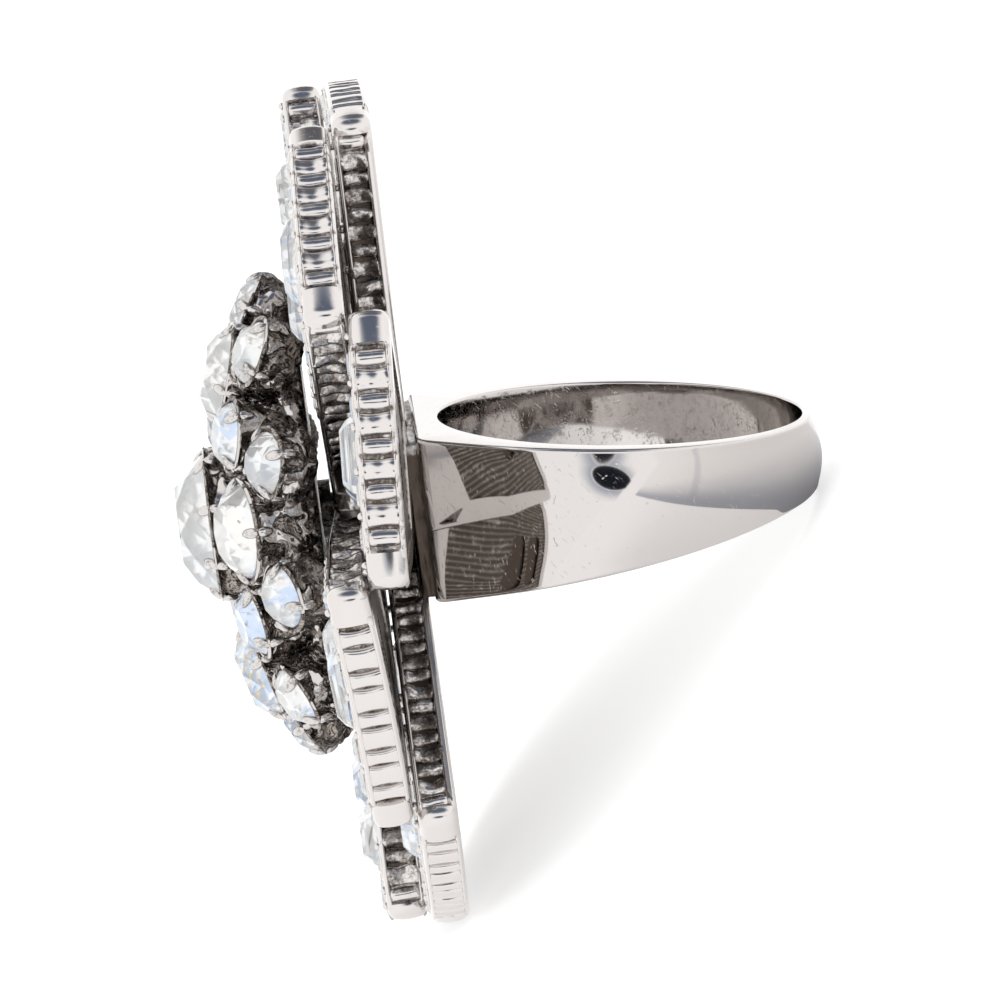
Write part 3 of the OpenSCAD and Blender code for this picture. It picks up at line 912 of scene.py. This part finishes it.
def placed_on_points(graph, points, kind, shape, seed, loose):
    """Shape set on the points of one kind, turned and sized as they say, and a little uneven."""
    chosen = graph.node("FunctionNodeCompare", {"data_type": "FLOAT", "operation": "EQUAL"},
                        {0: stored(graph, "INT", "kind"), 1: float(kind)})
    turn, size = (stored(graph, "FLOAT_VECTOR", name) for name in ("turn", "size"))
    turned_by = graph.node("FunctionNodeEulerToRotation", None, {0: turn})
    uneven = graph.node("FunctionNodeRandomValue", {"data_type": "FLOAT_VECTOR"},
                        {0: (1 - loose, 1 - 0.4 * loose, 1 - 0.2 * loose), 1: (1 + loose, 1.0, 1.0),
                         "Seed": seed})
    scaled = graph.node("ShaderNodeVectorMath", {"operation": "MULTIPLY"},
                        {0: uneven.outputs[0], 1: size})
    return graph.node("GeometryNodeInstanceOnPoints", None, {
        "Points": points, "Selection": chosen.outputs[0], "Instance": shape,
        "Rotation": turned_by.outputs[0], "Scale": scaled.outputs[0]}).outputs[0]


def join(graph, *parts):
    """Geometries as one."""
    made = graph.node("GeometryNodeJoinGeometry")
    for part in parts:
        graph.tree.links.new(part, made.inputs[0])
    return made.outputs[0]


def given_values(given):
    """The tree's inputs by name."""
    return {s.name: Value(Graph(given.id_data), s) for s in given.outputs if s.name not in ("Geometry", "")}


def rib_tree():
    """Ribs for a petal's wall: broad and slim dished ones, then broad and slim flat ones."""
    graph, given = new_tree("petal ribs", [
        ("Broad width", NUMBER, 1.0), ("Slim width", NUMBER, 0.6), ("Height", NUMBER, 1.4),
        ("Dish", NUMBER, 0.16), ("Seed", WHOLE, 3)])
    value = given_values(given)
    broad, slim, height, dish = (value[k] for k in ("Broad width", "Slim width", "Height", "Dish"))
    shapes = (
        rib_shape(graph, broad, height, (9, 13),
                  lambda u2, v2: (0.04 - dish * (1.0 - v2) * (1.0 - v2)
                                  - 0.08 * v2 ** 4.0 - 0.26 * u2 ** 1.5),
                  lambda v2: 0.98 + v2 * 0.03, 0.75),
        rib_shape(graph, slim, height * 0.93, (7, 11),
                  lambda u2, v2: 0.0 - 0.04 * (1.0 - v2) - 0.1 * v2 ** 3.0 - 0.24 * u2,
                  lambda v2: 1.0 - v2 * v2 * 0.12, 0.75),
        rib_shape(graph, broad * 1.05, height, (9, 9),
                  lambda u2, v2: -0.01 - 0.13 * u2 ** 2.0 - 0.05 * v2 ** 4.0,
                  lambda v2: 0.9 + v2 * 0.21, 0.5),
        rib_shape(graph, slim * 0.95, height, (7, 9),
                  lambda u2, v2: -0.01 - 0.13 * u2 ** 2.0 - 0.05 * v2 ** 4.0,
                  lambda v2: 0.86 + v2 * 0.3, 0.5))
    parts = [placed_on_points(graph, given.outputs["Geometry"], kind, shape, value["Seed"], 0.06)
             for kind, shape in enumerate(shapes)]
    real = graph.node("GeometryNodeRealizeInstances", None, {"Geometry": join(graph, *parts)})
    lumps = graph.value("ShaderNodeTexNoise", {"noise_dimensions": "3D"}, {"Scale": 1150.0, "Detail": 2.0})
    grime_and_shade = Value(graph, stored(graph, "FLOAT", "grime_and_shade"))
    offset = graph.node("ShaderNodeVectorMath", {"operation": "SCALE"}, {
        0: graph.node("GeometryNodeInputNormal").outputs[0],
        "Scale": (lumps - 0.56) * (grime_and_shade * 0.85 + 0.13) * (0.9 * MM)})
    melted = graph.node("GeometryNodeSetPosition", None,
                        {"Geometry": real.outputs[0], "Offset": offset.outputs[0]})
    end_tree(graph, melted.outputs[0], "petal_silver")
    return graph


def bead_tree():
    """Little round beads."""
    graph, given = new_tree("bead prongs", [("Radius", NUMBER, 0.2), ("Seed", WHOLE, 7)])
    value = given_values(given)
    bead = graph.node("GeometryNodeMeshUVSphere", None,
                      {"Segments": 12, "Rings": 7, "Radius": value["Radius"]})
    parts = placed_on_points(graph, given.outputs["Geometry"], 0, bead.outputs[0], value["Seed"], 0.15)
    end_tree(graph, parts, "petal_silver")
    return graph


def claw_tree():
    """Claws: a stem with a rounded head that leans over the crystal."""
    graph, given = new_tree("claws", [
        ("Head radius", NUMBER, 0.27), ("Stem length", NUMBER, 1.0), ("Seed", WHOLE, 5)])
    value = given_values(given)
    radius, stem = value["Head radius"], value["Stem length"]
    head = graph.node("GeometryNodeMeshUVSphere", None, {"Segments": 14, "Rings": 9, "Radius": radius})
    stretched = graph.node("GeometryNodeTransform", None,
                           {"Geometry": head.outputs[0], "Scale": (0.8, 0.9, 1.75),
                            "Rotation": Euler((0.0, radians(-40), 0.0)),
                            "Translation": (-0.2 * MM, 0.0, 0.24 * MM)})
    body = graph.node("GeometryNodeMeshUVSphere", None, {"Segments": 12, "Rings": 8, "Radius": radius})
    low = graph.node("ShaderNodeCombineXYZ", None, {2: stem * -0.45})
    long = graph.node("ShaderNodeCombineXYZ", None, {0: 0.8, 1: 0.95, 2: stem * 2200.0})
    lowered = graph.node("GeometryNodeTransform", None,
                         {"Geometry": body.outputs[0], "Translation": low.outputs[0],
                          "Scale": long.outputs[0]})
    shape = join(graph, stretched.outputs[0], lowered.outputs[0])
    parts = placed_on_points(graph, given.outputs["Geometry"], 0, shape, value["Seed"], 0.12)
    end_tree(graph, parts, "claw_silver")
    return graph


# Settings and operators

def set_colour(name, description, default):
    return FloatVectorProperty(name=name, description=description, subtype="COLOR", size=3, min=0.0,
                               max=1.0, default=default)


def set_length(name, description, least, default):
    """A setting in metres."""
    return FloatProperty(name=name, description=description, unit="LENGTH", subtype="DISTANCE",
                         min=least, default=default)


def set_angle(name, description, degrees):
    return FloatProperty(name=name, description=description, subtype="ANGLE", default=radians(degrees))


class RingFinish(PropertyGroup):
    silver: set_colour("Silver", "Colour of the polished metal", (0.585, 0.557, 0.54))
    # Colour of the darkened metal: tarnish, and painted shade in the petals' grooves and on their sides.
    tarnish: set_colour("Tarnish", "Colour of the metal in grooves and on hidden sides",
                        (0.098, 0.078, 0.064))
    bark_dull: set_colour("Dull bark", "Colour of the cluster's dull metal", (0.265, 0.23, 0.205))
    bark_bright: set_colour("Worn bark", "Colour of the cluster's worn ridges", (0.56, 0.53, 0.51))
    crystal: set_colour("Crystal", "Colour of the crystals", (0.985, 0.98, 0.97))


class RingCamera(PropertyGroup):
    distance: set_length("Distance", "From the camera to the point it looks at", 0.1, 0.32)
    elevation: set_angle("Elevation", "Height of the camera above the band's plane", 11.0)
    turn: set_angle("Turn", "Turn of the camera round the finger's axis", 1.0)
    roll: set_angle("Roll", "Roll of the camera about its own line of sight", 7.3)
    lens: FloatProperty(
        name="Lens", description="Focal length on a 36 mm sensor, in millimetres", min=20.0,
        default=240.42)


class RingSizes(PropertyGroup):
    rib_height: set_length("Rib height", "Length of a rib, from lip to lip of its petal", 0.0005, 0.00168)
    rib_dish: FloatProperty(
        name="Rib dish", description="How deep a bright rib is hollowed, in millimetres", min=0.0,
        default=0.17)
    broad_width: set_length("Broad rib", "Width of a broad rib", 0.0005, 0.0011)
    slim_width: set_length("Slim rib", "Width of a slim rib", 0.0002, 0.0008)
    rib_seed: IntProperty(
        name="Rib seed", description="Start of the ribs' uneven sizes", min=0, default=3)


def band_h(x):
    """Height of the tapering band at a distance from the head."""
    return BAND_H_HEAD - (BAND_H_HEAD - BAND_H_BACK) * x / BAND_REACH


def band_columns():
    """Outer side of the band, seen along the finger: (place, outward normal) all the way round."""
    centre = Vector((BAND_REACH - BAND_R, 0))
    end = Vector((END_GAP + BAND_CORNER_R, BAND_END_W / 2 - BAND_CORNER_R))
    way = end - centre
    touch = atan2(way.y, way.x) - acos((BAND_R - BAND_CORNER_R) / way.length)
    half = [(Vector((END_GAP, end.y * i / 12)), Vector((-1, 0))) for i in range(12)]
    for i in range(25):
        n = on_circle(1.0, pi + (touch - pi) * i / 24)
        half.append((end + BAND_CORNER_R * n, n))
    n = on_circle(1.0, touch)
    start, stop = half[-1][0], centre + BAND_R * n
    half += [(start.lerp(stop, i / 24), n) for i in range(1, 25)]
    for i in range(1, 91):
        n = on_circle(1.0, touch * (1 - i / 90))
        half.append((centre + BAND_R * n, n))
    return half + [(mirrored(p), mirrored(m)) for p, m in half[-2:0:-1]]


def band_section(p, n):
    """The band cut through one place on its outer side: (place, height), once round from below."""
    away = (p - HOLE).normalized()
    q = HOLE + FINGER_R * away
    half_out, half_in = band_h(p.x) / 2, band_h(q.x) / 2
    dome = BAND_DOME * smoothstep(2.5, 7.4, p.x)
    shares = [i / EDGE_STEPS for i in range(EDGE_STEPS + 1)]
    turns = [(sin(pi / 2 * share), cos(pi / 2 * share)) for share in shares]
    across = [-1 + 2 * i / (OUTER_STEPS - 1) for i in range(OUTER_STEPS)]
    section = [(p - n * dome * v * v, v * (half_out - EDGE)) for v in across]
    section += [(p - n * (dome + EDGE * (1 - c)), half_out - EDGE * (1 - s)) for s, c in turns[1:]]
    section += [(q + away * INNER_EDGE * (1 - s), half_in - INNER_EDGE * (1 - c)) for s, c in turns[:-1]]
    section += [(q, (half_in - INNER_EDGE) * (1 - 2 * i / (INNER_STEPS - 1))) for i in range(INNER_STEPS)]
    section += [(q + away * INNER_EDGE * (1 - c), INNER_EDGE * (1 - s) - half_in) for s, c in turns[1:]]
    section += [(p - n * (dome + EDGE * (1 - s)), EDGE * (1 - c) - half_out) for s, c in turns[:-1]]
    return section


class RING_OT_band(Operator):
    """Polished band that tapers from the head to its back, with softened edges."""
    bl_idname = "ring.band"
    bl_label = "Band"

    def execute(self, context):
        sections = [band_section(p, n) for p, n in band_columns()]
        rows = [[(s.x, s.y, z) for s, z in row] for row in zip(*sections)]
        rows.append(rows[0])
        inner = OUTER_STEPS + 2 * EDGE_STEPS
        darkening = [INNER_STAIN if inner <= k < inner + INNER_STEPS else 0.0
                 for k in range(len(rows)) for _ in rows[0]]
        new_piece("band", joined([marked(loops(rows), tarnish=darkening)], AT_REST), ["band_silver"],
                  ["ring_frame"], sharp=50)
        return {"FINISHED"}


class RING_OT_solder(Operator):
    """Rough solder that fills the crevice between the band and the head."""
    bl_idname = "ring.solder"
    bl_label = "Solder"

    def execute(self, context):
        block = bmesh.new()
        bmesh.ops.create_cube(block, size=1.0)
        bmesh.ops.subdivide_edges(block, edges=block.edges, cuts=30, use_grid_fill=True)
        middle, span = (SOLDER_LOW + SOLDER_HIGH) / 2, SOLDER_HIGH - SOLDER_LOW
        for v in block.verts:
            p = middle + v.co * span
            rough = noise.turbulence(p * 1.6, 4, False) - 0.5
            inward = (p - middle).normalized() * -1
            v.co = p + Vector((0, inward.y, inward.z)) * max(0.0, 0.12 + 0.22 * rough)
        made = shell([AT_REST @ v.co for v in block.verts],
                     [[v.index for v in f.verts] for f in block.faces])
        darkening = [1.0 if abs(v.co.y) > 4.5 and v.co.z < 3.2 else 0.45 for v in block.verts]
        block.free()
        new_piece("solder", marked(made, tarnish=darkening), ["solder"], ["ring_frame"])
        return {"FINISHED"}


class RING_OT_petals(Operator):
    """Both layers of petals, with smooth lips, walls between them darkened with tarnish and painted shade,
    and crystal recesses.
    """
    bl_idname = "ring.petals"
    bl_label = "Petals"

    def execute(self, context):
        for layer, node in (("back", "ring_frame"), ("front", "front_rosette")):
            parts = [joined([hub_shell(layer)], HEAD)]
            for k in range(PETALS):
                petal = joined(petal_shells(layer, STYLES[layer][k]))
                petal["verts"] = [set_down(layer, k, p) for p in petal["verts"]]
                parts.append(petal)
            new_piece(layer + "_petals", joined(parts), ["petal_silver"], [node],
                      sharp=60)
        return {"FINISHED"}


class RING_OT_ribs(Operator):
    """Broad and slim ribs round the edge of every petal, and bead prongs on its front."""
    bl_idname = "ring.ribs"
    bl_label = "Ribs"

    def execute(self, context):
        sizes = context.scene.ring_sizes
        ribs, beads = rib_tree(), bead_tree()
        values = {"Broad width": sizes.broad_width, "Slim width": sizes.slim_width,
                  "Height": sizes.rib_height, "Dish": sizes.rib_dish, "Seed": sizes.rib_seed}
        for layer, node in (("back", "ring_frame"), ("front", "front_rosette")):
            grow(layer + "_ribs", rib_points(layer), ribs, values, [node], sharp=70)
            grow(layer + "_beads", bead_points(layer), beads, {"Radius": 0.2 * MM, "Seed": 7}, [node])
        return {"FINISHED"}


def in_ring(step, radius, height, lean):
    """Where a crystal stands in a ring of the cluster, counted in steps round it."""
    return (HEAD @ Matrix.Rotation(radians(CLUSTER_TURN + step * 360 / RING_COUNT), 4, "Z")
            @ Matrix.Translation((radius, 0, height)) @ Matrix.Rotation(radians(lean), 4, "Y"))


def cluster_seats():
    """Every round crystal of the cluster: (matrix, diameter, depth of its cup, claws, node)."""
    seats = [(HEAD @ Matrix.Translation((0, 0, CENTRE_A)), CENTRE_D, CENTRE_CUP, 8, "centre_stone")]
    for i in range(RING_COUNT):
        d, deep = (SMALL_SEAT if i % 2 else LARGE_SEAT)
        seats.append((in_ring(i, INNER_R, INNER_A, INNER_LEAN), d, deep, 4, f"inner_stone_{i + 1}"))
        seats.append((in_ring(i + 0.5, OUTER_R, OUTER_A, OUTER_LEAN), OUTER_D, OUTER_CUP, 4,
                      f"outer_stone_{i + 1}"))
    return seats


def bark(p):
    """Height of the cluster's bark, 0 to 1: crisp ridges between smooth hollows."""
    ridge = 1 - abs(noise.noise(p)) * 3.4
    small = 1 - abs(noise.noise(p * 2.3 + Vector((7.1, 3.3, 1.9)))) * 3.0
    return max(0.0, min(1.0, 0.65 * ridge + 0.35 * small))


def cup_shell(d, deep, seed):
    """A bulging cup with a thin rim and bark-like walls, drawn round +Z."""
    inner = d / 2 + FIT
    outer = inner + CUP_WALL
    foot = [(outer * 0.62, -deep), (outer * 0.80, -deep * 0.96), (outer * 0.90, -deep * 0.88)]
    wall = [(outer * (0.93 + 0.09 * sin(pi * (0.15 + 0.7 * t / 9))), -deep * (0.8 - 0.74 * t / 9))
            for t in range(10)]
    rim = [(outer + 0.02, 0.01), (outer - 0.02, 0.08), (inner + 0.07, 0.11)]
    bowl = [(inner, 0.05), (inner, -0.14), (inner * 0.62, -0.2 * d), (inner * 0.14, -0.385 * d)]
    walled = len(foot) + len(wall)
    marks = []

    def wobble(a, r, z, k):
        if k >= walled:
            marks.append(0.95 if k < walled + len(rim) else 0.0)
            return 0.0, 0.0
        height = bark(Vector((cos(a) * d * 0.55, sin(a) * d * 0.55, z * 0.95 + seed * 3.7)) * 1.25)
        bulge = sin(pi * (k - 3) / 9) if k > 3 else 0.0
        # The ridge mark rises on the wall's bulge, a painted light that gives the cup its form, and is low
        # at its foot, where the finish paints shade.
        marks.append(0.12 + 0.25 * height + 0.45 * bulge)
        return 0.28 * (height - 0.85) * (0.5 if k == walled - 1 else 1), 0.0

    return marked(lathe(foot + wall + rim + bowl, 60, wobble), ridge=marks)


def dome_shell():
    """Back of the cluster, lobed under its outer cups."""
    profile = [(7.2, 0.05), (8.4, 0.0), (8.8, 0.15), (9.05, 0.45), (9.1, 0.8), (8.9, 1.1), (8.5, 1.35),
               (7.9, 1.55), (7.2, 1.75), (6.5, 1.95), (5.7, 2.2), (4.8, 2.35), (3.9, 2.35), (3.0, 2.3)]
    marks = []

    def wobble(a, r, z, k):
        lobe = abs(sin((a - radians(CLUSTER_TURN)) * RING_COUNT / 2))
        height = bark(Vector((r * cos(a), r * sin(a), z)) * 0.9)
        marks.append(0.05 + 0.45 * height)
        fade = smoothstep(6.5, 9.2, r)
        lowered = -0.16 * (1 - height) * (z > CLUSTER_A + 0.5)
        return (-0.75 * (1 - lobe) - 0.3 * (1 - height)) * fade, lowered

    return marked(lathe([(r, CLUSTER_A + z) for r, z in profile], 240, wobble), ridge=marks)


class RING_OT_cluster(Operator):
    """Dome of open cups in dark metal with a bark texture."""
    bl_idname = "ring.cluster"
    bl_label = "Cluster"

    def execute(self, context):
        parts = [joined([dome_shell()], HEAD)]
        for n, (place, d, deep, _, _) in enumerate(cluster_seats()):
            parts.append(joined([cup_shell(d, deep, n)], place))
        new_piece("cluster_cups", joined(parts), ["bark_silver"], ["cluster_basket"],
                  sharp=65)
        return {"FINISHED"}


class RING_OT_claws(Operator):
    """Ball-headed claws round each crystal of the cluster."""
    bl_idname = "ring.claws"
    bl_label = "Claws"

    def execute(self, context):
        made = no_points()
        for place, d, _, count, _ in cluster_seats():
            for j in range(count):
                a = 2 * pi * (j + (0.5 if count == 8 else 0)) / count
                at = place @ Matrix.Rotation(a, 4, "Z") @ Matrix.Translation((d / 2 + 0.13, 0, 0.04))
                turn = (at @ Matrix.Rotation(radians(-7), 4, "Y")).to_euler()
                add_point(made, at.translation, turn, grime_and_shade=0.3)
        values = {"Head radius": 0.28 * MM, "Stem length": 0.75 * MM, "Seed": 5}
        grow("cluster_claws", made, claw_tree(), values, ["cluster_basket"], sharp=60)
        return {"FINISHED"}


def hull_shell(points):
    """Convex stone round the points, with its foiled back as the second slot and each facet apart."""
    work = bmesh.new()
    for p in points:
        work.verts.new(p)
    out = bmesh.ops.convex_hull(work, input=work.verts)
    loose = {g for g in out["geom_interior"] + out["geom_unused"] if isinstance(g, bmesh.types.BMVert)}
    bmesh.ops.delete(work, geom=list(loose), context="VERTS")
    bmesh.ops.dissolve_limit(work, angle_limit=radians(1.0), verts=work.verts, edges=work.edges)
    work.normal_update()
    verts, faces, slots = [], [], []
    for f in work.faces:
        faces.append(list(range(len(verts), len(verts) + len(f.verts))))
        verts += [v.co.copy() for v in f.verts]
        slots.append(0 if f.normal.z > -0.05 else 1)
    work.free()
    return {"verts": verts, "faces": faces, "slots": slots}


def ring_of(r, z, n, phase):
    return [Vector((r * cos(2 * pi * i / n + radians(phase)), r * sin(2 * pi * i / n + radians(phase)), z))
            for i in range(n)]


def round_stone(d):
    """A round crystal: table, two rows of facets above the girdle and two below."""
    r = d / 2
    table = r * TABLE
    mid = (r + table) / 2 * 1.03
    crown = d * CROWN
    mid_h = crown * (1 - (mid * cos(radians(22.5)) - table) / (r - table))
    girdle = d * GIRDLE
    return hull_shell(ring_of(table, crown + girdle, 8, 0) + ring_of(mid, mid_h + girdle, 8, 22.5)
                      + ring_of(r, girdle, 16, 0) + ring_of(r, -girdle, 16, 0)
                      + ring_of(r * 0.62, -girdle - d * PAVILION / 2, 8, 22.5)
                      + ring_of(r * 0.12, -girdle - d * PAVILION, 8, 0))


def step_stone(length):
    """A step-cut crystal from its steps: shorter by, narrower by, clipped corners, height."""
    steps = ((1.1, 1.3, 0.2, BAGUETTE_RISE), (0.45, 0.5, 0.3, BAGUETTE_RISE * 0.62), (0, 0, 0.35, 0.08),
             (0, 0, 0.35, -0.1), (0.8, 0.9, 0.25, FIT - POCKET_DEEP))
    return hull_shell([Vector((p.x, p.y, LAYER_T + z)) for shorter, narrower, clip, z in steps
                       for p in clipped(length - shorter, BAGUETTE_W - narrower, clip)])


def edge_stone():
    """A small round crystal from its rings: share of its diameter, height."""
    points = []
    for share, z in ((0.3, 0.2), (0.5, -0.02), (0.22, FIT - POCKET_DEEP)):
        points += ring_of(EDGE_D * share, LAYER_T + z, 8, 0)
    return hull_shell(points)


class RING_OT_crystals(Operator):
    """Cut crystals with silvered backs: the cluster's and the petals'."""
    bl_idname = "ring.crystals"
    bl_label = "Crystals"

    def execute(self, context):
        groups = {"centre_crystal": [], "inner_crystals": [], "outer_crystals": [],
                  "petal_crystals": [], "back_accents": [], "front_accents": []}
        nodes = {name: [] for name in groups}
        for place, d, _, _, node in cluster_seats():
            name = node.split("_")[0] + ("_crystal" if node == "centre_stone" else "_crystals")
            groups[name].append(joined([round_stone(d)], place))
            nodes[name].append(node)
        for n, layer in enumerate(("back", "front")):
            accents = groups[layer + "_accents"]
            nodes[layer + "_accents"].append(layer + "_accent_stones")
            for k in range(PETALS):
                place = petal_place(layer, k)
                bow = Matrix.Translation((0, 0, 0.7 * BOW.get((layer, k), 0.0)))
                groups["petal_crystals"].append(
                    joined([step_stone(BAGUETTE_L)], place @ bow @ Matrix.Translation((BAGUETTE_R, 0, 0))))
                nodes["petal_crystals"].append(f"petal_stone_{n * PETALS + k + 1}")
                accents.append(joined([step_stone(SECOND_L)], place @ Matrix.Translation((SECOND_R, 0, 0))))
                for p in edge_crystals(layer):
                    accents.append(joined([edge_stone()], place @ Matrix.Translation((p.x, p.y, 0))))
        for name, parts in groups.items():
            made = joined(parts)
            # A random tone for each facet, which the crystal finishes turn into painted reflections.
            tones = []
            for n, face in enumerate(made["faces"]):
                tones += [abs(noise.cell(Vector((n * 1.37, len(tones) * 0.11, 4.2)))) % 1.0] * len(face)
            new_piece(name, marked(made, facet=tones), ["crystal", "crystal_foil"], nodes[name],
                      smooth=False, weld=1e-9)
        return {"FINISHED"}


class RING_OT_post(Operator):
    """Post between the petals and the cluster, which keeps its solid."""
    bl_idname = "ring.post"
    bl_label = "Post"

    def execute(self, context):
        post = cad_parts["centre_post"]
        post.data.materials.clear()
        post.data.materials.append(look("bark_silver"))
        return {"FINISHED"}


def view_axes(view):
    """Right, up and back of the camera in the scene."""
    back = Vector((-sin(view.turn) * cos(view.elevation), -cos(view.turn) * cos(view.elevation),
                   sin(view.elevation)))
    right = Vector((0, 0, 1)).cross(back).normalized()
    up = back.cross(right)
    turn = AT_REST.to_3x3()
    return (turn @ (cos(view.roll) * right - sin(view.roll) * up),
            turn @ (sin(view.roll) * right + cos(view.roll) * up), turn @ back)


def reflected_only(name, outline, matrix, finish):
    """A flat studio card that shows only in reflections."""
    made = linked(name, flat_mesh(name, outline, finish))
    made.matrix_world = matrix
    made.visible_camera = made.visible_shadow = made.visible_diffuse = False


def card_place(graph):
    """The place on a card as two numbers, in metres from its origin."""
    coordinates = graph.node("ShaderNodeTexCoord")
    parts = graph.node("ShaderNodeSeparateXYZ", None, {0: coordinates.outputs["Object"]})
    return Value(graph, parts.outputs[0]), Value(graph, parts.outputs[1])


def finish_card(graph, white, tone, pale):
    """Matt paper, from its own tone to a pale one where white says so."""
    shade = graph.mix(white, (*tone, 1.0), (*pale, 1.0))
    finish_look(graph, {"Base Color": shade, "Roughness": 0.9, "Specular IOR Level": 0.0})


def card_look(name, tone, size, soft):
    """A card's tone, which fades to white towards its edge."""
    material, graph = new_look(name)
    across, along = card_place(graph)
    x, y = across * (1 / size[0]), along * (1 / size[1])
    finish_card(graph, ((x * x + y * y) ** 0.5).above(1.0 - soft, 1.0), tone, CARD_WHITE)
    return material


def card(axes, name, azimuth, elevation, distance, size, tone, soft):
    """An oval card, placed as its line in the list of cards says."""
    right, up, back = axes
    a, e = radians(azimuth), radians(elevation)
    way = cos(e) * (sin(a) * right + cos(a) * back) + sin(e) * up
    across = up.cross(way).normalized() if abs(way.dot(up)) < 0.99 else right
    turn = Matrix((across, way.cross(across), way)).transposed().to_4x4()
    outline = [(size[0] * cos(2 * pi * i / 32), size[1] * sin(2 * pi * i / 32)) for i in range(32)]
    place = Matrix.Translation(RING_CENTRE + way * distance) @ turn
    reflected_only(name, outline, place, card_look(name, tone, size, soft))


def paper_look():
    """Grey paper beside the ring, darkest along its near edge and with one soft fold."""
    material, graph = new_look("table_card")
    x, y = card_place(graph)
    pale = ((x * 1000.0).above(0.0, 7.0) * 0.7 + (x * 1000.0).above(0.5, 3.5) * 0.3).clamped()
    fold = (y * 1000.0 + 17.0 + x * 380.0).maths("ABSOLUTE").above(0.3, 1.6)
    finish_card(graph, (pale * (fold * 0.35 + 0.65)).clamped(), PAPER_DARK, PAPER_PALE)
    return material


class RING_OT_stage(Operator):
    """White floor, soft studio light, reflection cards and the photograph's camera."""
    bl_idname = "ring.stage"
    bl_label = "Stage"

    def execute(self, context):
        scene = context.scene
        scene.view_settings.view_transform = "Standard"
        world = bpy.data.worlds.new("studio")
        world.use_nodes = True
        scene.world = world
        graph = Graph(world.node_tree)
        world.node_tree.nodes.clear()
        sky = graph.node("ShaderNodeBackground", None,
                         {"Color": (1.0, 1.0, 1.0, 1.0), "Strength": STUDIO_LIGHT})
        graph.node("ShaderNodeOutputWorld", None, {"Surface": sky.outputs[0]})

        f = FLOOR_HALF
        floor = linked("floor", flat_mesh("floor", [(-f, -f), (f, -f), (f, f), (-f, f)], floor_look()))
        view = scene.ring_camera
        axes = view_axes(view)
        for row in CARDS:
            card(axes, *row)
        reflected_only("table_card", PAPER, Matrix.Translation(PAPER_AT), paper_look())

        camera = linked("camera", bpy.data.cameras.new("camera"))
        camera.data.lens = view.lens
        camera.data.sensor_width = 36.0
        camera.data.clip_start, camera.data.clip_end = 0.01, 50.0
        place = (AT_REST @ VIEW_TARGET) * MM + axes[2] * view.distance
        camera.matrix_world = Matrix.Translation(place) @ Matrix(axes).transposed().to_4x4()
        scene.camera = camera
        return {"FINISHED"}


class RING_PT_pieces(Panel):
    """Lists the ring's pieces."""
    bl_idname = "RING_PT_pieces"
    bl_label = "Statement ring"
    bl_space_type = "VIEW_3D"
    bl_region_type = "UI"
    bl_category = "Ring"

    def draw(self, context):
        for settings in (context.scene.ring_finish, context.scene.ring_sizes, context.scene.ring_camera):
            for key in settings.__annotations__:
                self.layout.prop(settings, key)
        for each in OPERATORS:
            self.layout.operator(each.bl_idname)


GROUPS = (RingFinish, RingSizes, RingCamera)
OPERATORS = (RING_OT_band, RING_OT_solder, RING_OT_petals, RING_OT_ribs, RING_OT_cluster,
             RING_OT_claws, RING_OT_crystals, RING_OT_post, RING_OT_stage)
CLASSES = (*GROUPS, *OPERATORS, RING_PT_pieces)


def register():
    for each in CLASSES:
        bpy.utils.register_class(each)
    bpy.types.Scene.ring_finish = PointerProperty(type=RingFinish)
    bpy.types.Scene.ring_sizes = PointerProperty(type=RingSizes)
    bpy.types.Scene.ring_camera = PointerProperty(type=RingCamera)


def unregister():
    del bpy.types.Scene.ring_finish
    del bpy.types.Scene.ring_sizes
    del bpy.types.Scene.ring_camera
    for each in reversed(CLASSES):
        bpy.utils.unregister_class(each)


def main():
    register()
    for each in OPERATORS:
        group, name = each.bl_idname.split(".")
        getattr(getattr(bpy.ops, group), name)()


if __name__ == "__main__":
    main()
